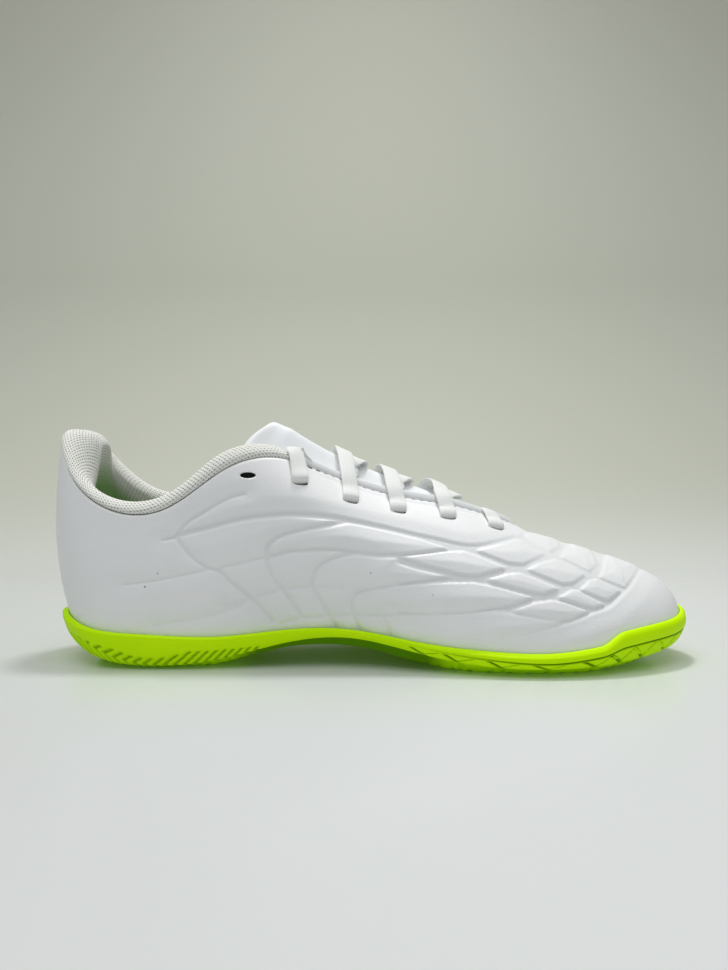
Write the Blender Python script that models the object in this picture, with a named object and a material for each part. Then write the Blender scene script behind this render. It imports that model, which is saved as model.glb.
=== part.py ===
# Indoor soccer shoe for the left foot, standing empty on its sole.
# Metres. +X is forward to the toe, +Y is the outer (lateral) side, +Z is up.
# The origin is on the ground under the middle of the whole shoe.

import math

import bmesh
import bpy
import numpy as np
from mathutils import Vector

# Driving sizes of the last and the upper
SHOE_LENGTH = 0.280      # back of the heel to the toe end of the sole
BALL_WIDTH = 0.090       # width of the upper where it stands in the sole, at the ball
HEEL_HEIGHT = 0.095      # upper's edge at the back of the heel, above the ground
INSTEP_HEIGHT = 0.0865   # upper's edge where the collar meets the throat
UPPER_WALL = 0.0018      # synthetic leather and its backing
CLEARANCE = 0.0003       # gap between pieces that touch

# Driving sizes of the outsole
SOLE_RIM_LIP = 0.0013    # width of the rim's top face
SOLE_SIDE_WALL = 0.0025  # side wall of the cup, below the rim
SOLE_BAND_HEIGHT = 0.0034  # smooth band under the rim
SOLE_BAND_STEP = 0.0006  # the band stands this far proud of the lugs
TOE_RIM_STEP = 0.0036    # the rim steps up to cover the toe
LUG_DEPTH = 0.0012       # grooves between the toe lugs
LUG_GROOVE = 0.0016      # width of those grooves
RIB_DEPTH = 0.0008       # herringbone ribs on the heel's side
RIB_SLANT = 0.0035       # how far a rib's point leads its ends
ARCH_HEIGHT = 0.0085     # underside of the waist, above the ground
TOE_SPRING = 0.0085      # underside of the toe tip, above the ground
HEEL_LIFT = 0.0060       # underside of the heel's back edge, above the ground
SIDE_HEIGHT = 0.0200     # rim at the back of the heel, above the ground
CUP_FLOOR = 0.0090       # cup floor under the heel, above the ground

# Driving sizes of what is inside and on top
INSOLE_THICKNESS = 0.0035
INSOLE_EDGE_GAP = 0.0005
COLLAR_ROLL = 0.0064     # padded roll above the upper's edge, at the heel
COLLAR_PAD = 0.0075      # thickness of the padding, at the heel
COLLAR_DEPTH = 0.034     # how far the padding reaches down, at the heel
LINING_THICKNESS = 0.0009  # facing under the eyelets
LINING_SHOW = 0.0022     # how far that facing shows past the throat's edge
TONGUE_THICKNESS = 0.0038
LACE_WIDTH = 0.0068
LACE_THICKNESS = 0.0013
LACE_LIFT = 0.0007       # air under a lace where it crosses
LACE_CROSS_BACK = 0.0070 # the laces cross this far behind the eyelets they leave
LACE_CROSS_SHARES = (0.45, 1.0, 1.85)
EYELET_LENGTH = 0.0066
EYELET_HEIGHT = 0.0027

STATIONS = 78            # around the shoe, shared by upper, collar and insole
RINGS = 10               # from the sole up to the upper's edge

DEG = math.pi / 180

# One row for each half section, from the heel along the inner side to the toe, and back.
# foot: where the upper stands in the sole, shares of SHOE_LENGTH and of BALL_WIDTH.
# floor, rim: cup floor (share of CUP_FLOOR) and sole rim (share of SIDE_HEIGHT).
# ground: lower corner of the sole's side, a share of SIDE_HEIGHT.
# tuck: how far that corner is drawn in under the rim, a share of BALL_WIDTH.
SOLE_COLUMNS = ("foot_x", "foot_y", "floor", "rim", "ground", "tuck")
SOLE_SECTIONS = (
    (0.0325, 0.000, 1.08, 1.000, 0.420, 0.085),
    (0.0521, -0.186, 1.03, 0.930, 0.340, 0.075),
    (0.0964, -0.303, 0.98, 0.795, 0.160, 0.050),
    (0.1710, -0.333, 0.95, 0.715, 0.050, 0.034),
    (0.2710, -0.322, 1.02, 0.660, 0.165, 0.030),
    (0.3710, -0.294, 1.42, 0.780, 0.510, 0.020),
    (0.4710, -0.306, 1.54, 0.785, 0.620, 0.016),
    (0.5710, -0.383, 1.02, 0.590, 0.360, 0.024),
    (0.6640, -0.461, 0.66, 0.500, 0.180, 0.030),
    (0.7500, -0.483, 0.62, 0.475, 0.150, 0.030),
    (0.8290, -0.447, 0.68, 0.560, 0.160, 0.030),
    (0.8960, -0.367, 0.88, 0.650, 0.195, 0.034),
    (0.9480, -0.262, 1.12, 0.690, 0.270, 0.042),
    (0.9740, -0.141, 1.36, 0.740, 0.370, 0.050),
    (0.9815, -0.017, 1.48, 0.800, 0.430, 0.054),
    (0.9720, 0.114, 1.36, 0.740, 0.370, 0.050),
    (0.9440, 0.236, 1.10, 0.690, 0.265, 0.042),
    (0.8900, 0.343, 0.87, 0.645, 0.190, 0.034),
    (0.8180, 0.434, 0.67, 0.550, 0.160, 0.030),
    (0.7360, 0.494, 0.62, 0.475, 0.150, 0.030),
    (0.6500, 0.506, 0.64, 0.490, 0.160, 0.030),
    (0.5570, 0.472, 0.74, 0.545, 0.190, 0.024),
    (0.4640, 0.422, 0.90, 0.605, 0.260, 0.020),
    (0.3680, 0.383, 0.98, 0.650, 0.290, 0.022),
    (0.2710, 0.361, 0.97, 0.665, 0.165, 0.030),
    (0.1710, 0.344, 0.95, 0.715, 0.050, 0.034),
    (0.0964, 0.308, 0.98, 0.795, 0.160, 0.050),
    (0.0521, 0.186, 1.03, 0.930, 0.340, 0.075),
)

# The same half sections, up to the collar and the throat.
# lean, rise: the wall's outward lean where it leaves the sole, and the pull of that lean.
# edge: where the section ends, shares of SHOE_LENGTH and of BALL_WIDTH, and a height
# that is a share of HEEL_HEIGHT plus a share of INSTEP_HEIGHT.
# slope, reach: the fall of the surface at the edge, and the pull of that slope.
# Rise and reach are shares of BALL_WIDTH.
UPPER_COLUMNS = (
    "lean", "rise", "edge_x", "edge_y", "edge_heel", "edge_instep", "slope", "reach",
)
UPPER_SECTIONS = (
    (24, 0.322, 0.0060, 0.000, 1.000, 0.000, 82, 0.32),
    (19, 0.311, 0.0170, -0.139, 0.965, 0.000, 82, 0.31),
    (12, 0.278, 0.0480, -0.244, 0.812, 0.000, 82, 0.27),
    (9, 0.244, 0.1110, -0.294, 0.682, 0.000, 80, 0.22),
    (12, 0.244, 0.1960, -0.306, 0.697, 0.000, 78, 0.22),
    (17, 0.289, 0.2790, -0.289, 0.437, 0.470, 74, 0.27),
    (17, 0.333, 0.3610, -0.239, 0.000, 1.006, 62, 0.29),
    (13, 0.333, 0.4430, -0.161, 0.000, 0.925, 42, 0.31),
    (9, 0.278, 0.5360, -0.150, 0.000, 0.836, 33, 0.31),
    (7, 0.256, 0.6210, -0.139, 0.000, 0.784, 28, 0.32),
    (5, 0.244, 0.6860, -0.117, 0.000, 0.716, 25, 0.34),
    (4, 0.250, 0.7125, -0.087, 0.000, 0.681, 22, 0.38),
    (4, 0.262, 0.7236, -0.056, 0.000, 0.662, 19, 0.42),
    (8, 0.280, 0.7280, -0.028, 0.000, 0.654, 17, 0.47),
    (10, 0.289, 0.7293, 0.000, 0.000, 0.652, 16.5, 0.49),
    (8, 0.280, 0.7280, 0.028, 0.000, 0.654, 17, 0.47),
    (4, 0.262, 0.7236, 0.056, 0.000, 0.662, 19, 0.42),
    (4, 0.250, 0.7125, 0.087, 0.000, 0.681, 22, 0.38),
    (5, 0.250, 0.6860, 0.117, 0.000, 0.713, 26, 0.34),
    (7, 0.256, 0.6210, 0.139, 0.000, 0.778, 30, 0.33),
    (8, 0.267, 0.5360, 0.150, 0.000, 0.828, 35, 0.33),
    (9, 0.300, 0.4430, 0.161, 0.000, 0.919, 43, 0.32),
    (10, 0.311, 0.3610, 0.239, 0.000, 0.996, 62, 0.29),
    (9, 0.289, 0.2790, 0.294, 0.430, 0.463, 74, 0.27),
    (8, 0.244, 0.1960, 0.311, 0.700, 0.000, 78, 0.22),
    (8, 0.233, 0.1110, 0.300, 0.706, 0.000, 80, 0.22),
    (12, 0.278, 0.0480, 0.250, 0.855, 0.000, 82, 0.27),
    (19, 0.311, 0.0170, 0.139, 0.978, 0.000, 82, 0.31),
)
ROWS = len(SOLE_SECTIONS)
TOE_ROW = ROWS / 2

# Underside along the middle of the sole: share of SHOE_LENGTH, then the shares of
# HEEL_LIFT, ARCH_HEIGHT and TOE_SPRING. The heel and the forefoot lie flat at zero.
TREAD_ROWS = (
    (0.000, 1.00, 0.00, 0.00),
    (0.035, 0.38, 0.00, 0.00),
    (0.085, 0.00, 0.00, 0.00),
    (0.250, 0.00, 0.00, 0.00),
    (0.320, 0.00, 0.50, 0.00),
    (0.385, 0.00, 0.92, 0.00),
    (0.430, 0.00, 1.00, 0.00),
    (0.480, 0.00, 0.90, 0.00),
    (0.550, 0.00, 0.40, 0.00),
    (0.635, 0.00, 0.00, 0.00),
    (0.790, 0.00, 0.00, 0.00),
    (0.860, 0.00, 0.00, 0.14),
    (0.920, 0.00, 0.00, 0.36),
    (0.960, 0.00, 0.00, 0.62),
    (1.000, 0.00, 0.00, 1.00),
)

# Grooves between the toe lugs and herringbone ribs round the heel, as places along the
# section rows. The outer side mirrors the inner side.
TOE_GROOVE_ROWS = (9.15, 9.95, 10.45, 11.30, 12.30, 13.30)
RIB_FIRST_ROW, RIB_LAST_ROW, RIB_COUNT = 0.75, 4.25, 11

# Eyelets of one side, from the top: section row, and depth below the upper's edge.
# The first is left empty, and the lace starts at the second.
EYELET_ROWS = (
    (5.42, 0.0066),
    (6.16, 0.0112),
    (6.94, 0.0138),
    (7.74, 0.0114),
    (8.58, 0.0106),
    (9.44, 0.0098),
)

# Collar: section row, then the shares of COLLAR_ROLL, COLLAR_PAD and COLLAR_DEPTH.
COLLAR_ROWS = (
    (0.0, 1.00, 1.00, 1.00),
    (1.0, 1.00, 1.00, 0.97),
    (2.0, 1.00, 0.95, 0.80),
    (3.0, 1.00, 0.82, 0.58),
    (4.0, 1.00, 0.66, 0.46),
    (5.0, 1.08, 0.50, 0.26),
    (6.0, 1.08, 0.42, 0.15),
    (6.6, 0.78, 0.32, 0.12),
)
COLLAR_FRONT_ROW = COLLAR_ROWS[-1][0]
LINING_BACK_ROW = 6.72
LINING_FOOT_SHARE = 0.17   # depth of the eyelet facing, as a share of the section

# Tongue from front to top: section row that it passes, the pull of its crown as a
# share of BALL_WIDTH, its depth under the upper as a share of the section.
TONGUE_ROWS = (
    (12.60, 0.020, 0.100),
    (11.60, 0.055, 0.110),
    (10.60, 0.105, 0.120),
    (9.60, 0.175, 0.130),
    (8.60, 0.225, 0.130),
    (7.80, 0.265, 0.130),
    (7.10, 0.295, 0.130),
    (6.60, 0.330, 0.120),
    (6.35, 0.358, 0.110),
    (6.16, 0.375, 0.100),
)
TONGUE_TIP_SWEEP = 0.0085  # the tongue's top corners lie this far behind its middle


def periodic_spline(knots, period, values):
    """A smooth closed curve through the rows of values, as a function of the knot place."""
    count = len(knots)
    span = np.diff(np.append(knots, knots[0] + period))
    matrix = np.zeros((count, count))
    right = np.zeros((count, values.shape[1]))
    for i in range(count):
        before, after = (i - 1) % count, (i + 1) % count
        matrix[i, before] += span[before]
        matrix[i, i] += 2 * (span[before] + span[i])
        matrix[i, after] += span[i]
        rise_after = (values[after] - values[i]) / span[i]
        rise_before = (values[i] - values[before]) / span[before]
        right[i] = 6 * (rise_after - rise_before)
    bend = np.linalg.solve(matrix, right)

    def curve(place):
        place = np.mod(np.asarray(place, float), period)
        i = np.clip(np.searchsorted(knots, place, side="right") - 1, 0, count - 1)
        j = (i + 1) % count
        h = span[i][..., None]
        b = (place - knots[i])[..., None] / h
        a = 1 - b
        return (
            a * values[i] + b * values[j]
            + ((a ** 3 - a) * bend[i] + (b ** 3 - b) * bend[j]) * h ** 2 / 6
        )

    return curve


def level_curve(places, values, at):
    """Goes smoothly through the values and stays exactly level between equal ones."""
    places, values = np.asarray(places, float), np.asarray(values, float)
    step = np.diff(values) / np.diff(places)
    slope = np.zeros(len(values))
    for i in range(1, len(values) - 1):
        if step[i - 1] * step[i] > 0:
            slope[i] = 2 * step[i - 1] * step[i] / (step[i - 1] + step[i])
    slope[0], slope[-1] = step[0], step[-1]
    at = np.clip(at, places[0], places[-1])
    i = np.clip(np.searchsorted(places, at, side="right") - 1, 0, len(step) - 1)
    h = places[i + 1] - places[i]
    b = (at - places[i]) / h
    return (
        values[i] * (1 + 2 * b) * (1 - b) ** 2 + slope[i] * h * b * (1 - b) ** 2
        + values[i + 1] * b * b * (3 - 2 * b) + slope[i + 1] * h * b * b * (b - 1)
    )


def smooth_step(x):
    x = np.clip(x, 0, 1)
    return x * x * (3 - 2 * x)


def unit(vectors):
    return vectors / np.maximum(np.linalg.norm(vectors, axis=-1, keepdims=True), 1e-12)


# The last: every piece is worked out from the functions in this part

def section_values():
    """The tables in metres and radians, one row for each half section."""
    sole = {n: np.array(c) for n, c in zip(SOLE_COLUMNS, zip(*SOLE_SECTIONS))}
    upper = {n: np.array(c) for n, c in zip(UPPER_COLUMNS, zip(*UPPER_SECTIONS))}
    return np.stack(
        [
            sole["foot_x"] * SHOE_LENGTH,
            sole["foot_y"] * BALL_WIDTH,
            sole["floor"] * CUP_FLOOR,
            sole["rim"] * SIDE_HEIGHT,
            sole["ground"] * SIDE_HEIGHT,
            sole["tuck"] * BALL_WIDTH,
            upper["lean"] * DEG,
            upper["rise"] * BALL_WIDTH,
            upper["edge_x"] * SHOE_LENGTH,
            upper["edge_y"] * BALL_WIDTH,
            upper["edge_heel"] * HEEL_HEIGHT + upper["edge_instep"] * INSTEP_HEIGHT,
            upper["slope"] * DEG,
            upper["reach"] * BALL_WIDTH,
        ],
        axis=1,
    )


VALUES = section_values()
FOOT = VALUES[:, :2]
CHORDS = np.linalg.norm(np.roll(FOOT, -1, axis=0) - FOOT, axis=1)
KNOTS = np.concatenate([[0], np.cumsum(np.sqrt(CHORDS))])
PERIOD = KNOTS[-1]
SECTION = periodic_spline(KNOTS[:-1], PERIOD, VALUES)
UP = np.array([0.0, 0.0, 1.0])


def place_of(row):
    """The spline's place for a section row, which may lie between two rows."""
    row = np.asarray(row, float)
    return np.interp(np.mod(row, ROWS), np.arange(ROWS + 1), KNOTS)


def frame_at(place):
    """Section values, forward direction and outward direction of the foot line."""
    step = PERIOD * 1e-4
    values = SECTION(place)
    ahead, behind = SECTION(place + step), SECTION(place - step)
    along = unit(np.pad((ahead - behind)[..., :2], [(0, 0)] * (values.ndim - 1) + [(0, 1)]))
    outward = np.stack([along[..., 1], -along[..., 0], along[..., 2]], axis=-1)
    return values, along, outward


def outer_points(place, share):
    """The upper's outer surface: place round the shoe, share from the sole to the edge."""
    place, share = np.broadcast_arrays(np.asarray(place, float), np.asarray(share, float))
    values, along, outward = frame_at(place)
    lean, rise, slope, reach = (values[..., k, None] for k in (6, 7, 11, 12))
    foot = np.stack(
        [values[..., 0], values[..., 1], values[..., 2] + CLEARANCE], axis=-1
    )
    edge = values[..., 8:11]
    ray = (edge - foot) * (1 - UP)
    radial = np.clip((82 * DEG - slope) / (62 * DEG), 0, 1)
    down_ray = unit(outward * (1 - radial) - unit(ray) * radial)
    skew = np.sum(ray * along, axis=-1, keepdims=True) * along * 0.3 * (1 - radial)
    low = foot + rise * (UP * np.cos(lean) + outward * np.sin(lean)) + skew
    high = edge + reach * (down_ray * np.cos(slope) - UP * np.sin(slope)) - skew
    b = share[..., None]
    a = 1 - b
    return a ** 3 * foot + 3 * a * a * b * low + 3 * a * b * b * high + b ** 3 * edge


def outer_normals(place, share):
    step = PERIOD * 1e-4
    low, high = np.maximum(share - 1e-3, 0), np.minimum(share + 1e-3, 1)
    round_way = outer_points(place + step, share) - outer_points(place - step, share)
    up_way = outer_points(place, high) - outer_points(place, low)
    return unit(np.cross(round_way, up_way))


def wall_points(place, share, depth):
    """Points that lie a depth inside the outer surface, or outside it if negative."""
    place, share = np.broadcast_arrays(np.asarray(place, float), np.asarray(share, float))
    depth = np.asarray(depth, float)[..., None]
    return outer_points(place, share) - outer_normals(place, share) * depth


def edge_frame(place):
    """The upper's edge: point, upward direction along the wall, outward normal."""
    place = np.asarray(place, float)
    one = np.ones_like(place)
    point = outer_points(place, one)
    upward = unit(point - outer_points(place, one - 1e-3))
    return point, upward, outer_normals(place, one)


def section_length(place):
    shares = np.linspace(0, 1, 25)
    line = outer_points(np.asarray(place, float)[..., None], shares)
    return np.linalg.norm(np.diff(line, axis=-2), axis=-1).sum(-1)


def foot_share(place):
    """Where on the section the sole's rim meets the upper."""
    target = rim_height(place)
    low, high = np.zeros_like(place), np.full_like(place, 0.6)
    for _ in range(30):
        middle = (low + high) / 2
        under = outer_points(place, middle)[..., 2] < target
        low, high = np.where(under, middle, low), np.where(under, high, middle)
    return (low + high) / 2


def rim_height(place):
    values = SECTION(place)
    toe = smooth_step((values[..., 0] / SHOE_LENGTH - 0.838) / 0.040)
    return values[..., 3] + TOE_RIM_STEP * toe


def tread_height(x):
    places, heel, arch, toe = (np.array(c) for c in zip(*TREAD_ROWS))
    heights = heel * HEEL_LIFT + arch * ARCH_HEIGHT + toe * TOE_SPRING
    return level_curve(places * SHOE_LENGTH, heights, x)


def profile_of(rows, row, column):
    """A column of a table that is kept by section row, the same on both sides."""
    mirrored = np.minimum(np.mod(row, ROWS), ROWS - np.mod(row, ROWS))
    places = np.array([r[0] for r in rows])
    order = np.argsort(places)
    column_values = np.array([r[column] for r in rows])
    return level_curve(places[order], column_values[order], mirrored)


def row_of(place):
    return np.interp(np.mod(place, PERIOD), KNOTS, np.arange(ROWS + 1))


# Mesh helpers

def mesh_object(name, points, faces, material):
    mesh = bpy.data.meshes.new(name)
    mesh.from_pydata([tuple(p) for p in points], [], faces)
    work = bmesh.new()
    work.from_mesh(mesh)
    bmesh.ops.recalc_face_normals(work, faces=work.faces)
    work.to_mesh(mesh)
    work.free()
    mesh.shade_smooth()
    mesh.set_sharp_from_angle(angle=40 * DEG)
    obj = bpy.data.objects.new(name, mesh)
    obj.data.materials.append(material)
    bpy.context.scene.collection.objects.link(obj)
    return obj


def closed_tube(sections, loop_along):
    """Faces of a grid whose sections are closed loops of points."""
    count, size = sections.shape[:2]
    faces = []
    for i in range(count if loop_along else count - 1):
        j = (i + 1) % count
        for k in range(size):
            m = (k + 1) % size
            faces.append((i * size + k, j * size + k, j * size + m, i * size + m))
    if not loop_along:
        faces.append(tuple(range(size)))
        faces.append(tuple((count - 1) * size + k for k in range(size)))
    return faces


def plastic(name, colour, roughness):
    material = bpy.data.materials.new(name)
    material.use_nodes = True
    shader = material.node_tree.nodes["Principled BSDF"]
    shader.inputs["Base Color"].default_value = (*colour, 1)
    shader.inputs["Roughness"].default_value = roughness
    shader.inputs["Metallic"].default_value = 0
    return material


def cut(obj, cutter, operation="DIFFERENCE"):
    modifier = obj.modifiers.new(f"{operation.lower()} {cutter.name}", "BOOLEAN")
    modifier.operation = operation
    modifier.solver = "EXACT"
    modifier.object = cutter
    cutter.hide_render = True
    cutter.display_type = "WIRE"


# The pieces

def base_places():
    """Even places round the shoe, with one exactly at the heel and one at the toe."""
    toe, half = place_of(TOE_ROW), STATIONS // 2
    inner = np.linspace(0, toe, half, endpoint=False)
    return np.concatenate([inner, np.linspace(toe, PERIOD, half, endpoint=False)])


def make_upper(material):
    place = base_places()[:, None]
    share = np.linspace(0, 1, RINGS)[None, :]
    outside = wall_points(place, share, 0.0)
    inside = wall_points(place, share, UPPER_WALL)
    sections = np.concatenate([outside, inside[:, ::-1]], axis=1)
    return mesh_object(
        "upper", sections.reshape(-1, 3), closed_tube(sections, True), material
    )


def mirrored_rows(rows):
    rows = np.asarray(rows, float)
    return np.concatenate([rows, ROWS - rows])


def sole_stations():
    """Places round the sole, with columns at both sides of each groove and rib."""
    half_groove = LUG_GROOVE / 2
    marks = []
    for row in mirrored_rows(TOE_GROOVE_ROWS):
        centre = place_of(row)
        values, along, outward = frame_at(np.array([centre]))
        step = PERIOD * 1e-3
        pace = np.linalg.norm(SECTION(centre + step)[:2] - SECTION(centre - step)[:2])
        wide = half_groove / pace * 2 * step
        for offset, depth in ((-1.7, 0), (-1, 1), (1, 1), (1.7, 0)):
            marks.append((centre + offset * wide, depth * LUG_DEPTH, 0))
    rib_rows = np.linspace(RIB_FIRST_ROW, RIB_LAST_ROW, 2 * RIB_COUNT + 1)
    for side in (rib_rows, ROWS - rib_rows):
        for k, row in enumerate(side):
            marks.append((float(place_of(row)), (k % 2) * RIB_DEPTH, 1))
    taken = np.array([m[0] for m in marks])
    for place in base_places():
        nearest = np.abs(np.mod(taken - place + PERIOD / 2, PERIOD) - PERIOD / 2).min()
        row = float(row_of(place))
        in_ribs = RIB_FIRST_ROW < min(row, ROWS - row) < RIB_LAST_ROW
        if nearest > PERIOD / STATIONS * 0.35 and not in_ribs:
            marks.append((place, 0, 0))
    centres = (0.0, float(place_of(TOE_ROW)))
    marks = [m for m in marks if min(abs(m[0] - c) for c in centres) > PERIOD * 1e-3]
    marks += [(c, 0, 0) for c in centres]
    marks.sort()
    return tuple(np.array(c, float) for c in zip(*marks))


def sole_side(place, groove, ribbed):
    """The sole's side at each place, from the cup floor over the rim to the tread."""
    values, along, outward = frame_at(place)
    ground, tuck = values[:, 4, None], values[:, 5, None]
    share = foot_share(place)
    rim = outer_points(place, share)
    rim_z = rim[:, 2, None]
    flat_rim = rim * (1 - UP)
    foot = outer_points(place, np.zeros_like(place)) * (1 - UP)
    floor = foot + outward * CLEARANCE + UP * values[:, 2, None]
    side_height = rim_z - ground
    band = np.minimum(SOLE_BAND_HEIGHT, side_height * 0.55)
    proud = CLEARANCE + SOLE_SIDE_WALL
    step = SOLE_BAND_STEP * smooth_step(side_height / SOLE_BAND_HEIGHT - 1.2)
    depth = groove[:, None]
    slant = RIB_SLANT * ribbed[:, None] * along
    forward = np.sign(values[:, 1, None]) * -1
    low_z = ground + side_height * 0.12

    def side(out, height, shift=0.0):
        return flat_rim + outward * out + UP * height + slant * forward * shift

    middle_z = (rim_z - band + low_z) / 2
    return np.stack(
        [
            floor,
            wall_points(place, share * 0.5, -CLEARANCE),
            wall_points(place, share, -CLEARANCE),
            side(CLEARANCE + SOLE_RIM_LIP, rim_z),
            side(proud, rim_z - band * 0.4),
            side(proud, rim_z - band, 0.5),
            side(proud - step - depth * 0.6, rim_z - band * 1.12, 0.4),
            side(proud - step - depth - tuck * 0.25, middle_z, -0.5),
            side(proud - step - depth - tuck * 0.7, low_z, 0.5),
            side(proud - tuck * 1.5 - depth, ground, 0.4),
        ],
        axis=1,
    )


def make_outsole(material):
    place, groove, ribbed = sole_stations()
    count = len(place)
    sections = sole_side(place, groove, ribbed)
    size = sections.shape[1]
    tread_in = sections[:, -1].copy()
    values, along, outward = frame_at(place)
    tread_in -= outward * 0.006
    lug = (groove * (ribbed < 0.5))[:, None]
    tread_in = tread_in * (1 - UP) + UP * (tread_height(tread_in[:, :1]) + lug * 0.6)
    sections = np.concatenate([sections, tread_in[:, None]], axis=1)
    size += 1
    points = list(sections.reshape(-1, 3))
    faces = []
    for i in range(count):
        j = (i + 1) % count
        for k in range(size - 1):
            faces.append(
                (i * size + k, j * size + k, j * size + k + 1, i * size + k + 1)
            )
    toe = int(np.argmin(np.abs(place - place_of(TOE_ROW))))
    side_a = list(range(1, toe))
    side_b = list(range(count - 1, toe, -1))

    def bridge(column, middle_height):
        """Fills between the two sides along a row of middle points."""
        edge = sections[:, column]
        middles = []
        partner = []
        for i in side_a:
            x = edge[i, 0]
            across = min(side_b, key=lambda m: abs(edge[m, 0] - x))
            partner.append(across)
        for i, m in zip(side_a, partner):
            middle = (edge[i] + edge[m]) / 2
            middle[2] = middle_height(middle[0], edge[i, 2], edge[m, 2])
            middles.append(len(points))
            points.append(middle)

        def number(i):
            return i * size + column

        faces.append((number(0), number(side_a[0]), middles[0]))
        for a in range(len(side_a) - 1):
            faces.append(
                (number(side_a[a]), number(side_a[a + 1]), middles[a + 1], middles[a])
            )
        faces.append((number(side_a[-1]), number(toe), middles[-1]))
        nearest = {
            m: min(range(len(middles)), key=lambda a: abs(points[middles[a]][0] - edge[m, 0]))
            for m in side_b
        }
        order, last = [], 0
        for m in side_b:
            last = max(last, nearest[m])
            order.append(last)
        order[0], order[-1] = 0, len(middles) - 1
        faces.append((number(0), middles[0], number(side_b[0])))
        for b in range(len(side_b) - 1):
            low, high = order[b], order[b + 1]
            ring = [number(side_b[b]), number(side_b[b + 1])]
            chain = [middles[a] for a in range(high, low - 1, -1)]
            for a in range(len(chain) - 1):
                faces.append((ring[1], chain[a], chain[a + 1]))
            faces.append((ring[0], ring[1], chain[-1]))
        faces.append((number(side_b[-1]), middles[-1], number(toe)))

    bridge(0, lambda x, a, b: (a + b) / 2)
    bridge(size - 1, lambda x, a, b: float(tread_height(np.array(x))))
    return mesh_object("outsole", points, faces, material)


def make_insole(material):
    place = base_places()
    values, along, outward = frame_at(place)
    shares = np.array([0.0, 0.04, 0.08, 0.12])
    inside = wall_points(place[:, None], shares, UPPER_WALL)
    reach = np.sum((inside - inside[:, :1]) * outward[:, None], axis=2).min(1)
    edge = inside[:, 0] + outward * (reach[:, None] - INSOLE_EDGE_GAP)
    floor = values[:, 2]
    count = len(place)
    toe = int(np.argmin(np.abs(place - place_of(TOE_ROW))))
    low = edge * (1 - UP) + UP * (floor[:, None] + CLEARANCE)
    middles = np.array([(low[i] + low[-i]) / 2 for i in range(count)])
    middles[0] = middles[1]
    middles[toe] = middles[toe - 1]
    low = np.stack([low, (low + middles) / 2], axis=1)
    high = low + UP * INSOLE_THICKNESS
    points, faces = [], []
    for layer in (low, high):
        points += list(layer.reshape(-1, 3))
    step = 2 * count

    def number(layer, i, k):
        return layer * step + (i % count) * 2 + k

    for i in range(count):
        j = i + 1
        faces.append((number(0, i, 0), number(0, j, 0), number(1, j, 0), number(1, i, 0)))
        for layer in (0, 1):
            faces.append(
                (number(layer, i, 0), number(layer, j, 0),
                 number(layer, j, 1), number(layer, i, 1))
            )
    for layer in (0, 1):
        for i in range(1, toe - 1):
            faces.append(
                tuple(number(layer, m, 1) for m in (i, i + 1, count - i - 1, count - i))
            )
        faces.append(tuple(number(layer, i, 1) for i in (1, 0, count - 1)))
        faces.append(tuple(number(layer, i, 1) for i in (toe - 1, toe, toe + 1)))
    return mesh_object("insole", points, faces, material)


def make_collar(material):
    front = place_of(COLLAR_FRONT_ROW)
    half = np.linspace(0, front, 21)
    place = np.concatenate([-half[:0:-1], half])
    row = row_of(place)
    roll = profile_of(COLLAR_ROWS, row, 1) * COLLAR_ROLL
    pad = profile_of(COLLAR_ROWS, row, 2) * COLLAR_PAD
    depth = profile_of(COLLAR_ROWS, row, 3) * COLLAR_DEPTH
    down = depth / section_length(place)
    point, upward, normal = edge_frame(place)

    def above(height, out):
        return point + upward * height[:, None] + normal * out[:, None]

    one = np.ones_like(place)
    sections = np.stack(
        [
            wall_points(place, 1 - down, UPPER_WALL + CLEARANCE * 1.2),
            wall_points(place, 1 - down * 0.5, UPPER_WALL + CLEARANCE * 1.2),
            above(-0.0003 * one, -(UPPER_WALL + CLEARANCE * 1.2) * one),
            above(CLEARANCE * 1.6 * one, -(UPPER_WALL + CLEARANCE) * one),
            above(CLEARANCE * 2.0 * one, -0.0001 * one),
            above(roll * 0.40, 0.0006 * one),
            above(roll * 0.80, -0.0004 * one),
            above(roll, -(UPPER_WALL + pad * 0.30)),
            above(roll * 0.78, -(UPPER_WALL + pad * 0.75)),
            above(roll * 0.10, -(UPPER_WALL + CLEARANCE + pad)),
            wall_points(place, 1 - down * 0.35, UPPER_WALL + CLEARANCE + pad * 0.97),
            wall_points(place, 1 - down * 0.70, UPPER_WALL + CLEARANCE + pad * 0.66),
            wall_points(place, 1 - down, UPPER_WALL + CLEARANCE + pad * 0.30),
        ],
        axis=1,
    )
    return mesh_object(
        "collar", sections.reshape(-1, 3), closed_tube(sections, False), material
    )


def make_throat_lining(material):
    place = np.linspace(place_of(LINING_BACK_ROW), place_of(ROWS - LINING_BACK_ROW), 35)
    point, upward, normal = edge_frame(place)
    top_depth = UPPER_WALL + CLEARANCE
    low_depth = top_depth + LINING_THICKNESS
    past = point + upward * LINING_SHOW
    shares = (1 - LINING_FOOT_SHARE, 1 - LINING_FOOT_SHARE / 2, 1.0)
    outer = [wall_points(place, np.full_like(place, s), top_depth) for s in shares]
    inner = [wall_points(place, np.full_like(place, s), low_depth) for s in shares]
    sections = np.stack(
        [*outer, past - normal * top_depth, past - normal * low_depth, *inner[::-1]],
        axis=1,
    )
    return mesh_object(
        "throat_lining", sections.reshape(-1, 3), closed_tube(sections, False), material
    )


def tongue_inset(row):
    """How far inside the upper's outer surface the tongue's top face passes."""
    pad = profile_of(COLLAR_ROWS, row, 2) * COLLAR_PAD
    front = COLLAR_FRONT_ROW
    share = smooth_step((front + 0.5 - row) / 0.5)
    past_collar = UPPER_WALL + CLEARANCE * 3 + pad * share
    past_lining = UPPER_WALL + LINING_THICKNESS + CLEARANCE * 3
    return np.maximum(past_collar, past_lining)


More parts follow.
